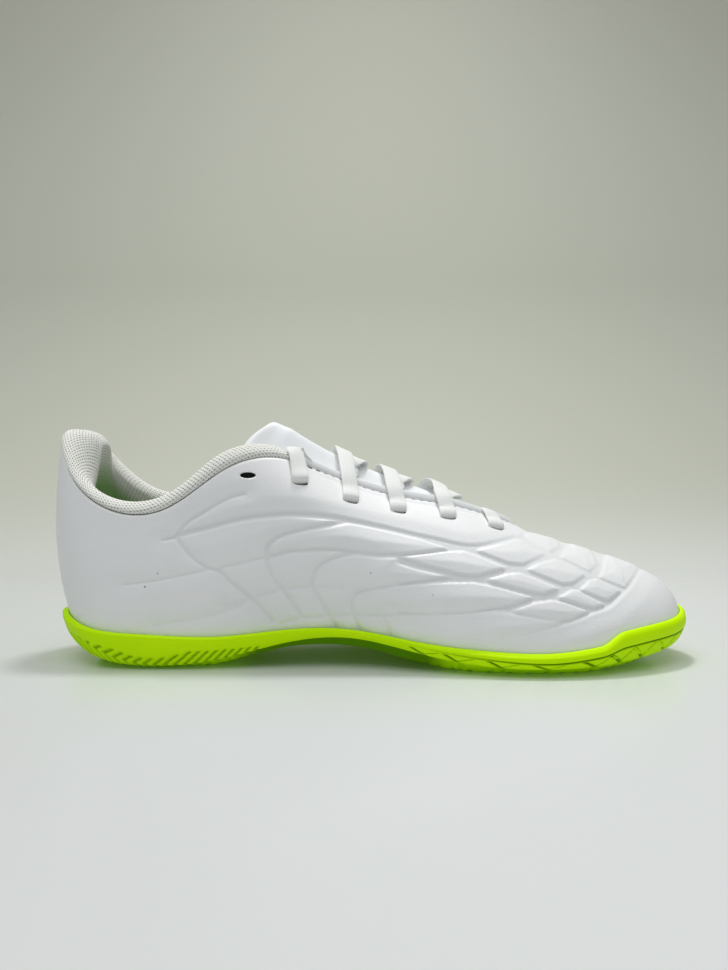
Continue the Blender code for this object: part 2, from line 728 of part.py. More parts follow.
def tongue_lines(rows, across):
    """The tongue's top face: a line across the foot for each section row."""
    rows = np.asarray(rows, float)
    crown = profile_of(TONGUE_ROWS, rows, 1) * BALL_WIDTH
    flap = profile_of(TONGUE_ROWS, rows, 2)
    inset = tongue_inset(rows)
    sides = []
    for place in (place_of(rows), place_of(ROWS - rows)):
        point, upward, normal = edge_frame(place)
        start = point - normal * inset[:, None]
        low = wall_points(place, 1 - flap, inset)
        half = wall_points(place, 1 - flap / 2, inset)
        sides.append((start, start + upward * crown[:, None], half, low))
    (a, a_pull, a_half, a_low), (b, b_pull, b_half, b_low) = sides
    w = np.asarray(across, float)[None, :, None]
    arch = (
        (1 - w) ** 3 * a[:, None] + 3 * (1 - w) ** 2 * w * a_pull[:, None]
        + 3 * (1 - w) * w * w * b_pull[:, None] + w ** 3 * b[:, None]
    )
    sweep = TONGUE_TIP_SWEEP * smooth_step((7.4 - rows) / 1.35)
    bow = (2 * w[0, :, 0] - 1) ** 2
    arch[..., 0] -= sweep[:, None] * bow[None, :]
    for line in (a_half, a_low, b_half, b_low):
        line[:, 0] -= sweep
    return np.concatenate(
        [a_low[:, None], a_half[:, None], arch, b_half[:, None], b_low[:, None]], axis=1
    )


def grid_normals(grid):
    return unit(np.cross(np.gradient(grid, axis=0), np.gradient(grid, axis=1)))


def make_tongue(material):
    rows = np.linspace(TONGUE_ROWS[0][0], TONGUE_ROWS[-1][0], 18)
    top = tongue_lines(rows, np.linspace(0, 1, 9))
    normal = grid_normals(top)
    if normal[:, normal.shape[1] // 2, 2].mean() < 0:
        normal = -normal
    under = top - normal * TONGUE_THICKNESS
    sections = np.concatenate([top, under[:, ::-1]], axis=1)
    return mesh_object(
        "tongue", sections.reshape(-1, 3), closed_tube(sections, False), material
    )


def eyelet_frame(side, index):
    """Centre, outward normal and lengthwise direction of an eyelet. Side is -1 or 1."""
    row, depth = EYELET_ROWS[index]
    place = place_of(row if side < 0 else ROWS - row)
    place = np.array([float(place)])
    share = 1 - depth / section_length(place)
    centre = outer_points(place, share)[0]
    normal = outer_normals(place, share)[0]
    step = PERIOD * 1e-3
    along = edge_frame(place + step)[0][0] - edge_frame(place - step)[0][0]
    along = unit(along - normal * (along @ normal))
    return centre, normal, along * (1 if side < 0 else -1)


def make_eyelet_cutters(material):
    """One oval punch for each eyelet, joined in one helper object."""
    points, faces = [], []
    angles = np.linspace(0, 2 * math.pi, 10, endpoint=False)
    for side in (-1, 1):
        for index in range(len(EYELET_ROWS)):
            centre, normal, along = eyelet_frame(side, index)
            upward = np.cross(normal, along)
            first = len(points)
            for height in (-0.0062, 0.0030):
                for angle in angles:
                    points.append(
                        centre + normal * height
                        + along * math.cos(angle) * EYELET_LENGTH / 2
                        + upward * math.sin(angle) * EYELET_HEIGHT / 2
                    )
            size = len(angles)
            faces.append(tuple(first + k for k in range(size)))
            faces.append(tuple(first + size + k for k in range(size)))
            for k in range(size):
                m = (k + 1) % size
                faces.append(
                    (first + k, first + m, first + size + m, first + size + k)
                )
    return mesh_object("eyelet_punches", points, faces, material)


def ribbon_sections(points, normals, width, thickness):
    """Flat lace sections along a line, with softened edges."""
    along = unit(np.gradient(points, axis=0))
    normals = unit(normals - along * np.sum(normals * along, axis=1, keepdims=True))
    across = np.cross(normals, along)
    shape = (
        (-0.5, 0.0), (-0.42, -0.5), (0.42, -0.5), (0.5, 0.0), (0.42, 0.5), (-0.42, 0.5),
    )
    return np.stack(
        [points + across * (x * width) + normals * (z * thickness) for x, z in shape],
        axis=1,
    )


def resample(points, normals, count):
    """Even points on a smooth line through the given ones, each with its normal."""
    both = np.concatenate([np.asarray(points, float), np.asarray(normals, float)], axis=1)
    knots = np.concatenate(
        [[0], np.cumsum(np.linalg.norm(np.diff(both[:, :3], axis=0), axis=1))]
    )
    at = np.linspace(0, knots[-1], count)
    slopes = np.gradient(both, knots, axis=0)
    i = np.clip(np.searchsorted(knots, at, side="right") - 1, 0, len(both) - 2)
    h = (knots[i + 1] - knots[i])[:, None]
    b = (at - knots[i])[:, None] / h
    line = (
        both[i] * (1 + 2 * b) * (1 - b) ** 2 + slopes[i] * h * b * (1 - b) ** 2
        + both[i + 1] * b * b * (3 - 2 * b) + slopes[i + 1] * h * b * b * (b - 1)
    )
    return line[:, :3], line[:, 3:]


def tongue_point(x, across):
    """A point on the tongue's top face, on the line whose middle is at x, and its normal."""
    first, last = TONGUE_ROWS[-1][0], TONGUE_ROWS[0][0]
    trial = np.linspace(first + 0.06, last - 0.06, 60)
    middles = tongue_lines(trial, np.array([0.5]))[:, 2, 0]
    row = float(np.interp(x, middles, trial))
    rows = np.array([row - 0.05, row, row + 0.05])
    places = np.clip(np.array([across - 0.02, across, across + 0.02]), 0, 1)
    grid = tongue_lines(rows, places)[:, 2:-2]
    normal = grid_normals(grid)[1, 1]
    return grid[1, 1], normal if normal[2] > 0 else -normal


def strand_line(side, index):
    """A lace strand from an eyelet over the near edge to the far side's next eyelet."""
    lift = LACE_LIFT + LACE_THICKNESS / 2
    row = EYELET_ROWS[index][0]
    centre, normal, along = eyelet_frame(side, index)
    points, normals = [centre + normal * lift], [normal]
    place = np.array([float(place_of(row - 0.06 if side < 0 else ROWS - row + 0.06))])
    point, upward, edge_normal = (v[0] for v in edge_frame(place))
    middle = (points[0] + point + edge_normal * lift) / 2 + edge_normal * 0.0002
    points += [middle, point + edge_normal * lift]
    normals += [edge_normal, edge_normal]
    for share, across in zip(LACE_CROSS_SHARES, (0.34, 0.50, 0.68)):
        spot, spot_normal = tongue_point(
            centre[0] - share * LACE_CROSS_BACK, across if side < 0 else 1 - across
        )
        points.append(spot + spot_normal * (lift + 0.0003))
        normals.append(spot_normal)
    return resample(points, normals, 10)


def make_lace_crossing(number, index, material):
    strands = []
    for side in (-1, 1):
        points, normals = strand_line(side, index)
        sections = ribbon_sections(points, normals, LACE_WIDTH, LACE_THICKNESS)
        name = f"lace_cross_{number}" + ("" if side < 0 else "_other")
        strands.append(
            mesh_object(
                name, sections.reshape(-1, 3), closed_tube(sections, False), material
            )
        )
    cut(strands[0], strands[1], "UNION")
    return strands[0]


def make_lace_bar(material):
    lift = LACE_LIFT + LACE_THICKNESS / 2
    index = len(EYELET_ROWS) - 1
    row = EYELET_ROWS[index][0]
    points, normals = [], []
    for side in (-1, 1):
        centre, normal, along = eyelet_frame(side, index)
        place = np.array([float(place_of(row - 0.05 if side < 0 else ROWS - row + 0.05))])
        point, upward, edge_normal = (v[0] for v in edge_frame(place))
        half = [
            (centre + normal * lift, normal),
            (point + edge_normal * lift, edge_normal),
        ]
        bar_x = centre[0] - LACE_CROSS_BACK / 2
        spot, spot_normal = tongue_point(bar_x, 0.30 if side < 0 else 0.70)
        half.append((spot + spot_normal * (lift + 0.0006), spot_normal))
        if side > 0:
            spot, spot_normal = tongue_point(bar_x, 0.50)
            points.append(spot + spot_normal * (lift + 0.0004))
            normals.append(spot_normal)
            half.reverse()
        points += [h[0] for h in half]
        normals += [h[1] for h in half]
    line, line_normals = resample(points, normals, 10)
    sections = ribbon_sections(line, line_normals, LACE_WIDTH, LACE_THICKNESS)
    return mesh_object(
        "lace_bar", sections.reshape(-1, 3), closed_tube(sections, False), material
    )


def make_lace_top(side, material):
    """The last strand of one side: out of its eyelet and just over the throat's edge."""
    lift = LACE_LIFT + LACE_THICKNESS / 2
    index = 1
    row = EYELET_ROWS[index][0]
    centre, normal, along = eyelet_frame(side, index)
    place = np.array([float(place_of(row + 0.30 if side < 0 else ROWS - row - 0.30))])
    point, upward, edge_normal = (v[0] for v in edge_frame(place))
    over = point + upward * 0.0012 + edge_normal * (lift + 0.0004)
    middle = (centre + normal * lift + over) / 2 + edge_normal * 0.0005
    points = [centre + normal * lift, middle, over]
    normals = [normal, (normal + edge_normal) / 2, edge_normal]
    line, line_normals = resample(points, normals, 7)
    sections = ribbon_sections(line, line_normals, LACE_WIDTH, LACE_THICKNESS)
    name = "lace_top_inner" if side < 0 else "lace_top_outer"
    return mesh_object(
        name, sections.reshape(-1, 3), closed_tube(sections, False), material
    )


def centre_on_ground(objects):
    """Moves the shoe so that the origin is on the ground under its middle."""
    corners = np.array(
        [v.co for o in objects for v in o.data.vertices], float
    ).reshape(-1, 3)
    low, high = corners.min(0), corners.max(0)
    shift = Vector((-(low[0] + high[0]) / 2, -(low[1] + high[1]) / 2, -low[2]))
    for obj in objects:
        obj.data.transform(_translation(shift))


def _translation(shift):
    from mathutils import Matrix

    return Matrix.Translation(shift)


def main():
    for obj in list(bpy.data.objects):
        bpy.data.objects.remove(obj, do_unlink=True)
    white = plastic("white_synthetic", (0.86, 0.87, 0.88), 0.42)
    lime = plastic("lime_rubber", (0.52, 0.86, 0.02), 0.45)
    mesh_white = plastic("white_mesh", (0.80, 0.81, 0.76), 0.85)
    tongue_white = plastic("tongue_synthetic", (0.86, 0.87, 0.90), 0.48)
    lace_white = plastic("white_lace", (0.86, 0.87, 0.83), 0.80)
    lime_foam = plastic("lime_sock", (0.42, 0.72, 0.10), 0.85)

    punches = make_eyelet_cutters(white)
    upper = make_upper(white)
    lining = make_throat_lining(tongue_white)
    cut(upper, punches)
    cut(lining, punches)
    made = [upper, lining, punches]
    made.append(make_outsole(lime))
    made.append(make_insole(lime_foam))
    made.append(make_collar(mesh_white))
    made.append(make_tongue(tongue_white))
    made.append(make_lace_bar(lace_white))
    for number, index in enumerate((4, 3, 2), start=1):
        made.append(make_lace_crossing(number, index, lace_white))
    for side in (-1, 1):
        made.append(make_lace_top(side, lace_white))
    centre_on_ground([o for o in bpy.data.objects if o.type == "MESH"])


main()
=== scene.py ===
# Indoor soccer shoe for the left foot: embossed upper, padded collar, laces and sole detail.
# Metres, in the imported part's frame: +X to the toe, +Y the outer side, +Z up.

import math

import bmesh
import bpy
import numpy as np
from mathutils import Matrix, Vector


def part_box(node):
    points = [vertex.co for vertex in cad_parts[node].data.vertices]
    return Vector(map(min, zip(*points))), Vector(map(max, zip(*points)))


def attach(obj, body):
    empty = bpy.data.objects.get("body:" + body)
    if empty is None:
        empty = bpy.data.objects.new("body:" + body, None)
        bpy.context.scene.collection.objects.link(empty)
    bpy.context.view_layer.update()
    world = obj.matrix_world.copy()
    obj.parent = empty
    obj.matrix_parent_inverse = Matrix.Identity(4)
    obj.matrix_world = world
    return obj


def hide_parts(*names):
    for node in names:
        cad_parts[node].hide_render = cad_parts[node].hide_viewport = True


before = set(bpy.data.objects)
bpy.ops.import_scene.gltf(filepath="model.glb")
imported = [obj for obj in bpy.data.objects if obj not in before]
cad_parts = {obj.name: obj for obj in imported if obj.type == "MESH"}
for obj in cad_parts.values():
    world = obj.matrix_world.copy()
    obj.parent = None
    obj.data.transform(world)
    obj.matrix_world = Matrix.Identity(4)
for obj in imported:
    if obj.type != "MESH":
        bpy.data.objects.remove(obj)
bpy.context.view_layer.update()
scene = bpy.context.scene
deg = math.pi / 180
up = np.array([0.0, 0.0, 1.0])

# The camera stands where the photographer did, level, and low in front of the inner side
print("camera")
eye = {"x": -0.0027, "y": -0.330, "z": 0.0755, "sensor": 36.0, "lens": 27.056}
cameraData = bpy.data.cameras.new("camera")
cameraData.sensor_fit = "VERTICAL"
cameraData.sensor_height = eye["sensor"]
cameraData.lens = eye["lens"]
cameraData.clip_start = 0.01
camera = bpy.data.objects.new("camera", cameraData)
camera.location = (eye["x"], eye["y"], eye["z"])
camera.rotation_euler = (90 * deg, 0, 0)
scene.collection.objects.link(camera)
scene.camera = camera

# The last, as in the part: driving sizes first
shoe = {
    "length": 0.280, "ballWidth": 0.090, "heelHeight": 0.095, "instepHeight": 0.0865,
    "wall": 0.0018, "clearance": 0.0003, "sideHeight": 0.0200, "cupFloor": 0.0090,
    "archHeight": 0.0085, "toeSpring": 0.0085, "heelLift": 0.0060,
    "toeRimStep": 0.0036, "toeStepStart": 0.818, "toeStepRun": 0.044,
    "steepest": 82 * deg, "steepRange": 62 * deg, "skew": 0.3,
}

# foot x and y, floor, rim, ground, tuck: one row for each half section round the shoe
soleSections = (
    (0.0325, 0.000, 1.08, 1.050, 0.420, 0.085),
    (0.0521, -0.186, 1.03, 0.955, 0.340, 0.075),
    (0.0964, -0.303, 0.98, 0.795, 0.160, 0.050),
    (0.1710, -0.333, 0.95, 0.715, 0.050, 0.034),
    (0.2710, -0.322, 1.02, 0.660, 0.165, 0.030),
    (0.3710, -0.294, 1.42, 0.780, 0.510, 0.020),
    (0.4710, -0.306, 1.54, 0.785, 0.620, 0.016),
    (0.5710, -0.383, 1.02, 0.590, 0.360, 0.024),
    (0.6640, -0.461, 0.66, 0.500, 0.180, 0.030),
    (0.7500, -0.483, 0.62, 0.475, 0.150, 0.030),
    (0.8290, -0.447, 0.68, 0.600, 0.175, 0.032),
    (0.8960, -0.367, 0.88, 0.720, 0.245, 0.036),
    (0.9480, -0.262, 1.12, 0.790, 0.350, 0.042),
    (0.9740, -0.141, 1.36, 0.870, 0.460, 0.050),
    (0.9815, -0.017, 1.48, 0.935, 0.520, 0.054),
    (0.9720, 0.114, 1.36, 0.850, 0.450, 0.050),
    (0.9440, 0.236, 1.10, 0.760, 0.330, 0.042),
    (0.8900, 0.343, 0.87, 0.690, 0.230, 0.034),
    (0.8180, 0.434, 0.67, 0.550, 0.160, 0.030),
    (0.7360, 0.494, 0.62, 0.475, 0.150, 0.030),
    (0.6500, 0.506, 0.64, 0.490, 0.160, 0.030),
    (0.5570, 0.472, 0.74, 0.545, 0.190, 0.024),
    (0.4640, 0.422, 0.90, 0.605, 0.260, 0.020),
    (0.3680, 0.383, 0.98, 0.650, 0.290, 0.022),
    (0.2710, 0.361, 0.97, 0.665, 0.165, 0.030),
    (0.1710, 0.344, 0.95, 0.715, 0.050, 0.034),
    (0.0964, 0.308, 0.98, 0.795, 0.160, 0.050),
    (0.0521, 0.186, 1.03, 0.930, 0.340, 0.075),
)

# lean, rise, edge x and y, edge height as shares of the heel's and the instep's, slope, reach
upperSections = (
    (24, 0.322, 0.0060, 0.000, 1.000, 0.000, 82, 0.32),
    (19, 0.311, 0.0170, -0.139, 0.965, 0.000, 82, 0.31),
    (12, 0.278, 0.0480, -0.244, 0.812, 0.000, 82, 0.27),
    (9, 0.244, 0.1110, -0.294, 0.682, 0.000, 80, 0.22),
    (12, 0.244, 0.1960, -0.306, 0.697, 0.000, 78, 0.22),
    (17, 0.289, 0.2790, -0.289, 0.437, 0.470, 74, 0.27),
    (17, 0.333, 0.3610, -0.239, 0.000, 1.006, 62, 0.29),
    (13, 0.333, 0.4430, -0.161, 0.000, 0.909, 42, 0.31),
    (9, 0.278, 0.5360, -0.150, 0.000, 0.818, 33, 0.31),
    (7, 0.256, 0.6210, -0.139, 0.000, 0.770, 28, 0.32),
    (5, 0.244, 0.6860, -0.117, 0.000, 0.709, 25, 0.34),
    (4, 0.250, 0.7125, -0.087, 0.000, 0.681, 22, 0.38),
    (4, 0.262, 0.7236, -0.056, 0.000, 0.662, 19, 0.42),
    (8, 0.280, 0.7280, -0.028, 0.000, 0.654, 17, 0.47),
    (10, 0.289, 0.7293, 0.000, 0.000, 0.652, 16.5, 0.49),
    (8, 0.280, 0.7280, 0.028, 0.000, 0.654, 17, 0.47),
    (4, 0.262, 0.7236, 0.056, 0.000, 0.662, 19, 0.42),
    (4, 0.250, 0.7125, 0.087, 0.000, 0.681, 22, 0.38),
    (5, 0.250, 0.6860, 0.117, 0.000, 0.706, 26, 0.34),
    (7, 0.256, 0.6210, 0.139, 0.000, 0.764, 30, 0.33),
    (8, 0.267, 0.5360, 0.150, 0.000, 0.812, 35, 0.33),
    (9, 0.300, 0.4430, 0.161, 0.000, 0.903, 43, 0.32),
    (10, 0.311, 0.3610, 0.239, 0.000, 0.996, 62, 0.29),
    (9, 0.289, 0.2790, 0.294, 0.430, 0.463, 74, 0.27),
    (8, 0.244, 0.1960, 0.311, 0.710, 0.000, 78, 0.22),
    (8, 0.233, 0.1110, 0.300, 0.757, 0.000, 80, 0.22),
    (12, 0.278, 0.0480, 0.250, 0.922, 0.000, 82, 0.27),
    (19, 0.311, 0.0170, 0.139, 0.995, 0.000, 82, 0.31),
)
rowCount = len(soleSections)

# share of the length, then shares of the heel's lift, the arch and the toe's spring
treadRows = (
    (0.000, 1.00, 0.00, 0.00), (0.035, 0.38, 0.00, 0.00), (0.085, 0.00, 0.00, 0.00),
    (0.250, 0.00, 0.00, 0.00), (0.320, 0.00, 0.50, 0.00), (0.385, 0.00, 0.92, 0.00),
    (0.430, 0.00, 1.00, 0.00), (0.480, 0.00, 0.90, 0.00), (0.550, 0.00, 0.40, 0.00),
    (0.635, 0.00, 0.00, 0.00), (0.790, 0.00, 0.00, 0.00), (0.860, 0.00, 0.00, 0.14),
    (0.920, 0.00, 0.00, 0.46), (0.960, 0.00, 0.00, 0.74), (1.000, 0.00, 0.00, 1.00),
)


def periodicSpline(knots, period, values):
    # a smooth closed curve through the rows of values
    count = len(knots)
    span = np.diff(np.append(knots, knots[0] + period))
    matrix = np.zeros((count, count))
    right = np.zeros((count, values.shape[1]))
    for i in range(count):
        before, after = (i - 1) % count, (i + 1) % count
        matrix[i, before] += span[before]
        matrix[i, i] += 2 * (span[before] + span[i])
        matrix[i, after] += span[i]
        riseAfter = (values[after] - values[i]) / span[i]
        riseBefore = (values[i] - values[before]) / span[before]
        right[i] = 6 * (riseAfter - riseBefore)
    bend = np.linalg.solve(matrix, right)

    def curve(place):
        place = np.mod(np.asarray(place, float), period)
        i = np.clip(np.searchsorted(knots, place, side="right") - 1, 0, count - 1)
        j = (i + 1) % count
        h = span[i][..., None]
        b = (place - knots[i])[..., None] / h
        a = 1 - b
        bent = (a ** 3 - a) * bend[i] + (b ** 3 - b) * bend[j]
        return a * values[i] + b * values[j] + bent * h ** 2 / 6

    return curve


def levelCurve(places, values, at):
    # smooth through the values, and level between equal ones
    places, values = np.asarray(places, float), np.asarray(values, float)
    step = np.diff(values) / np.diff(places)
    slope = np.zeros(len(values))
    for i in range(1, len(values) - 1):
        if step[i - 1] * step[i] > 0:
            slope[i] = 2 * step[i - 1] * step[i] / (step[i - 1] + step[i])
    slope[0], slope[-1] = step[0], step[-1]
    at = np.clip(at, places[0], places[-1])
    i = np.clip(np.searchsorted(places, at, side="right") - 1, 0, len(step) - 1)
    h = places[i + 1] - places[i]
    b = (at - places[i]) / h
    return (
        values[i] * (1 + 2 * b) * (1 - b) ** 2 + slope[i] * h * b * (1 - b) ** 2
        + values[i + 1] * b * b * (3 - 2 * b) + slope[i + 1] * h * b * b * (b - 1)
    )


def smoothStep(x):
    x = np.clip(x, 0, 1)
    return x * x * (3 - 2 * x)


def unit(vectors):
    return vectors / np.maximum(np.linalg.norm(vectors, axis=-1, keepdims=True), 1e-12)


def sectionValues():
    sole = np.array(soleSections).T
    upper = np.array(upperSections).T
    length, width = shoe["length"], shoe["ballWidth"]
    return np.stack(
        [
            sole[0] * length, sole[1] * width, sole[2] * shoe["cupFloor"],
            sole[3] * shoe["sideHeight"], sole[4] * shoe["sideHeight"], sole[5] * width,
            upper[0] * deg, upper[1] * width, upper[2] * length, upper[3] * width,
            upper[4] * shoe["heelHeight"] + upper[5] * shoe["instepHeight"],
            upper[6] * deg, upper[7] * width,
        ],
        axis=1,
    )


sectionTable = sectionValues()
chords = np.linalg.norm(np.roll(sectionTable[:, :2], -1, axis=0) - sectionTable[:, :2], axis=1)
knots = np.concatenate([[0], np.cumsum(np.sqrt(chords))])
period = knots[-1]
sectionAt = periodicSpline(knots[:-1], period, sectionTable)


def placeOf(row):
    row = np.asarray(row, float)
    return np.interp(np.mod(row, rowCount), np.arange(rowCount + 1), knots)


def rowOf(place):
    return np.interp(np.mod(place, period), knots, np.arange(rowCount + 1))


def frameAt(place):
    # the section's values, the way along the shoe and the way out
    step = period * 1e-4
    values = sectionAt(place)
    ahead, behind = sectionAt(place + step), sectionAt(place - step)
    along = unit(np.pad((ahead - behind)[..., :2], [(0, 0)] * (values.ndim - 1) + [(0, 1)]))
    outward = np.stack([along[..., 1], -along[..., 0], along[..., 2]], axis=-1)
    return values, along, outward


def outerPoints(place, share):
    # the upper's outer face: place round the shoe, share from the sole to the opening's edge
    place, share = np.broadcast_arrays(np.asarray(place, float), np.asarray(share, float))
    values, along, outward = frameAt(place)
    lean, rise, slope, reach = (values[..., k, None] for k in (6, 7, 11, 12))
    foot = values[..., :3] + up * shoe["clearance"]
    edge = values[..., 8:11]
    ray = (edge - foot) * (1 - up)
    # a flat vamp is drawn towards the middle, and a steep wall along its own normal
    radial = np.clip((shoe["steepest"] - slope) / shoe["steepRange"], 0, 1)
    downRay = unit(outward * (1 - radial) - unit(ray) * radial)
    skew = np.sum(ray * along, axis=-1, keepdims=True) * along * shoe["skew"] * (1 - radial)
    low = foot + rise * (up * np.cos(lean) + outward * np.sin(lean)) + skew
    high = edge + reach * (downRay * np.cos(slope) - up * np.sin(slope)) - skew
    b = share[..., None]
    a = 1 - b
    return a ** 3 * foot + 3 * a * a * b * low + 3 * a * b * b * high + b ** 3 * edge


def outerNormals(place, share):
    step = period * 1e-4
    low, high = np.maximum(share - 1e-3, 0), np.minimum(share + 1e-3, 1)
    roundWay = outerPoints(place + step, share) - outerPoints(place - step, share)
    upWay = outerPoints(place, high) - outerPoints(place, low)
    return unit(np.cross(roundWay, upWay))


def wallPoints(place, share, depth):
    place, share = np.broadcast_arrays(np.asarray(place, float), np.asarray(share, float))
    depth = np.asarray(depth, float)[..., None]
    return outerPoints(place, share) - outerNormals(place, share) * depth


def edgeFrame(place):
    # the upper's edge: point, direction up the wall, outward normal
    place = np.asarray(place, float)
    one = np.ones_like(place)
    point = outerPoints(place, one)
    upward = unit(point - outerPoints(place, one - 1e-3))
    return point, upward, outerNormals(place, one)


def sectionLength(place):
    line = outerPoints(np.asarray(place, float)[..., None], np.linspace(0, 1, 25))
    return np.linalg.norm(np.diff(line, axis=-2), axis=-1).sum(-1)


def toeStep(x):
    # 0 behind the step in the toe's rim, 1 ahead of it
    return smoothStep((x / shoe["length"] - shoe["toeStepStart"]) / shoe["toeStepRun"])


def rimHeight(place):
    values = sectionAt(place)
    return values[..., 3] + shoe["toeRimStep"] * toeStep(values[..., 0])


def footShare(place):
    # how far up the section the sole's rim lies
    target = rimHeight(place)
    low, high = np.zeros_like(place), np.full_like(place, 0.6)
    for _ in range(30):
        middle = (low + high) / 2
        under = outerPoints(place, middle)[..., 2] < target
        low, high = np.where(under, middle, low), np.where(under, high, middle)
    return (low + high) / 2


def treadHeight(x):
    places, heel, arch, toe = np.array(treadRows).T
    heights = heel * shoe["heelLift"] + arch * shoe["archHeight"] + toe * shoe["toeSpring"]
    return levelCurve(places * shoe["length"], heights, x)


def profileOf(rows, row, column):
    # a column of a table that is the same on both sides
    row = np.mod(row, rowCount)
    mirrored = np.minimum(row, rowCount - row)
    table = np.array(sorted(rows))
    return levelCurve(table[:, 0], table[:, column], mirrored)


# The last's own zero is at the heel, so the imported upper's box gives the move to the frame
stationCount, ringCount = 78, 10
halfway = placeOf(rowCount / 2)
innerHalf = np.linspace(0, halfway, stationCount // 2, endpoint=False)
outerHalf = np.linspace(halfway, period, stationCount // 2, endpoint=False)
cadPlaces = np.concatenate([innerHalf, outerHalf])[:, None]
cadShares = np.linspace(0, 1, ringCount)[None, :]
cadSkins = [wallPoints(cadPlaces, cadShares, d).reshape(-1, 3) for d in (0.0, shoe["wall"])]
shift = np.array(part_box("upper")[0]) - np.concatenate(cadSkins).min(0)
farCorner = np.abs(np.array(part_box("upper")[1]) - np.concatenate(cadSkins).max(0) - shift).max()
print("the last fits the packed upper within", round(farCorner * 1000, 3), "mm")


# Mesh helpers
def gridFaces(rows, columns, closeRows=False, closeColumns=False):
    i = np.arange(rows if closeRows else rows - 1)[:, None]
    k = np.arange(columns if closeColumns else columns - 1)[None, :]
    j, m = (i + 1) % rows, (k + 1) % columns
    corners = [i * columns + k, j * columns + k, j * columns + m, i * columns + m]
    return np.stack(corners, axis=-1).reshape(-1, 4)


def makePiece(name, points, faces, materials, uv=None, masks=None, faceSlots=None):
    mesh = bpy.data.meshes.new(name)
    placed = np.asarray(points, float).reshape(-1, 3) + shift
    mesh.from_pydata(placed.tolist(), [], [tuple(int(v) for v in f) for f in faces])
    for material in materials:
        mesh.materials.append(material)
    if faceSlots is not None:
        mesh.polygons.foreach_set("material_index", np.asarray(faceSlots, np.int32))
    if uv is not None:
        layer = mesh.uv_layers.new(name="UVMap")
        corner = np.zeros(len(mesh.loops), np.int32)
        mesh.loops.foreach_get("vertex_index", corner)
        layer.data.foreach_set("uv", np.asarray(uv, float).reshape(-1, 2)[corner].ravel())
    for key, mask in (masks or {}).items():
        attribute = mesh.attributes.new(key, "FLOAT", "POINT")
        attribute.data.foreach_set("value", np.asarray(mask, float).ravel())
    work = bmesh.new()
    work.from_mesh(mesh)
    bmesh.ops.recalc_face_normals(work, faces=work.faces)
    work.to_mesh(mesh)
    work.free()
    mesh.shade_smooth()
    piece = bpy.data.objects.new(name, mesh)
    scene.collection.objects.link(piece)
    return piece


def lineLengths(points, axis):
    # distance run along an axis of a grid of points
    steps = np.linalg.norm(np.diff(points, axis=axis), axis=-1)
    start = np.zeros_like(np.take(steps, [0], axis=axis))
    return np.concatenate([start, np.cumsum(steps, axis=axis)], axis=axis)


def softLine(points, count=6, closed=False):
    # a smooth line through the points, which keeps them
    points = np.asarray(points, float)
    if closed:
        padded = np.concatenate([points[-1:], points, points[:2]])
    else:
        first, last = 2 * points[0] - points[1], 2 * points[-1] - points[-2]
        padded = np.concatenate([[first], points, [last]])
    t = np.linspace(0, 1, count, endpoint=False)[:, None]
    runs = []
    for p0, p1, p2, p3 in zip(padded, padded[1:], padded[2:], padded[3:]):
        runs.append(
            0.5 * (2 * p1 + (p2 - p0) * t + (2 * p0 - 5 * p1 + 4 * p2 - p3) * t ** 2
                   + (3 * p1 - p0 - 3 * p2 + p3) * t ** 3)
        )
    if not closed:
        runs.append(points[-1:])
    return np.concatenate(runs)


# Shader helpers
def addNode(tree, kind, **settings):
    node = tree.nodes.new(kind)
    for key, value in settings.items():
        setattr(node, key, value)
    return node


def feed(tree, value, socket):
    # a link where the value is another node's output, a plain setting otherwise
    if isinstance(value, bpy.types.NodeSocket):
        tree.links.new(value, socket)
    else:
        socket.default_value = value


def maths(tree, operation, first, second=0.0):
    node = addNode(tree, "ShaderNodeMath", operation=operation)
    feed(tree, first, node.inputs[0])
    feed(tree, second, node.inputs[1])
    return node.outputs[0]


def sums(tree):
    # plus, minus, times and over for one node tree
    def named(operation):
        return lambda first, second: maths(tree, operation, first, second)

    return [named(operation) for operation in ("ADD", "SUBTRACT", "MULTIPLY", "DIVIDE")]


def spread(tree, value, fromLow, fromHigh, toLow=0.0, toHigh=1.0):
    # maps a range smoothly on to another
    node = addNode(tree, "ShaderNodeMapRange", interpolation_type="SMOOTHSTEP")
    tree.links.new(value, node.inputs["Value"])
    for key, number in zip(
        ("From Min", "From Max", "To Min", "To Max"), (fromLow, fromHigh, toLow, toHigh)
    ):
        node.inputs[key].default_value = number
    return node.outputs["Result"]


def noise(tree, where, scale, detail=2.0):
    cloud = addNode(tree, "ShaderNodeTexNoise")
    tree.links.new(where, cloud.inputs["Vector"])
    feed(tree, scale, cloud.inputs["Scale"])
    cloud.inputs["Detail"].default_value = detail
    return cloud.outputs["Fac"]


def splitVector(tree, vector):
    parts = addNode(tree, "ShaderNodeSeparateXYZ")
    tree.links.new(vector, parts.inputs[0])
    return parts.outputs["X"], parts.outputs["Y"], parts.outputs["Z"]


def newGroup(name, inputs, outputs):
    # a group takes a vector and some numbers, and gives numbers
    group = bpy.data.node_groups.new(name, "ShaderNodeTree")
    newSocket, number = group.interface.new_socket, "NodeSocketFloat"
    newSocket(name="Vector", in_out="INPUT", socket_type="NodeSocketVector")
    for label, value in inputs.items():
        newSocket(name=label, in_out="INPUT", socket_type=number).default_value = value
    for label in outputs:
        newSocket(name=label, in_out="OUTPUT", socket_type=number)
    return group, addNode(group, "NodeGroupInput").outputs, addNode(group, "NodeGroupOutput").inputs


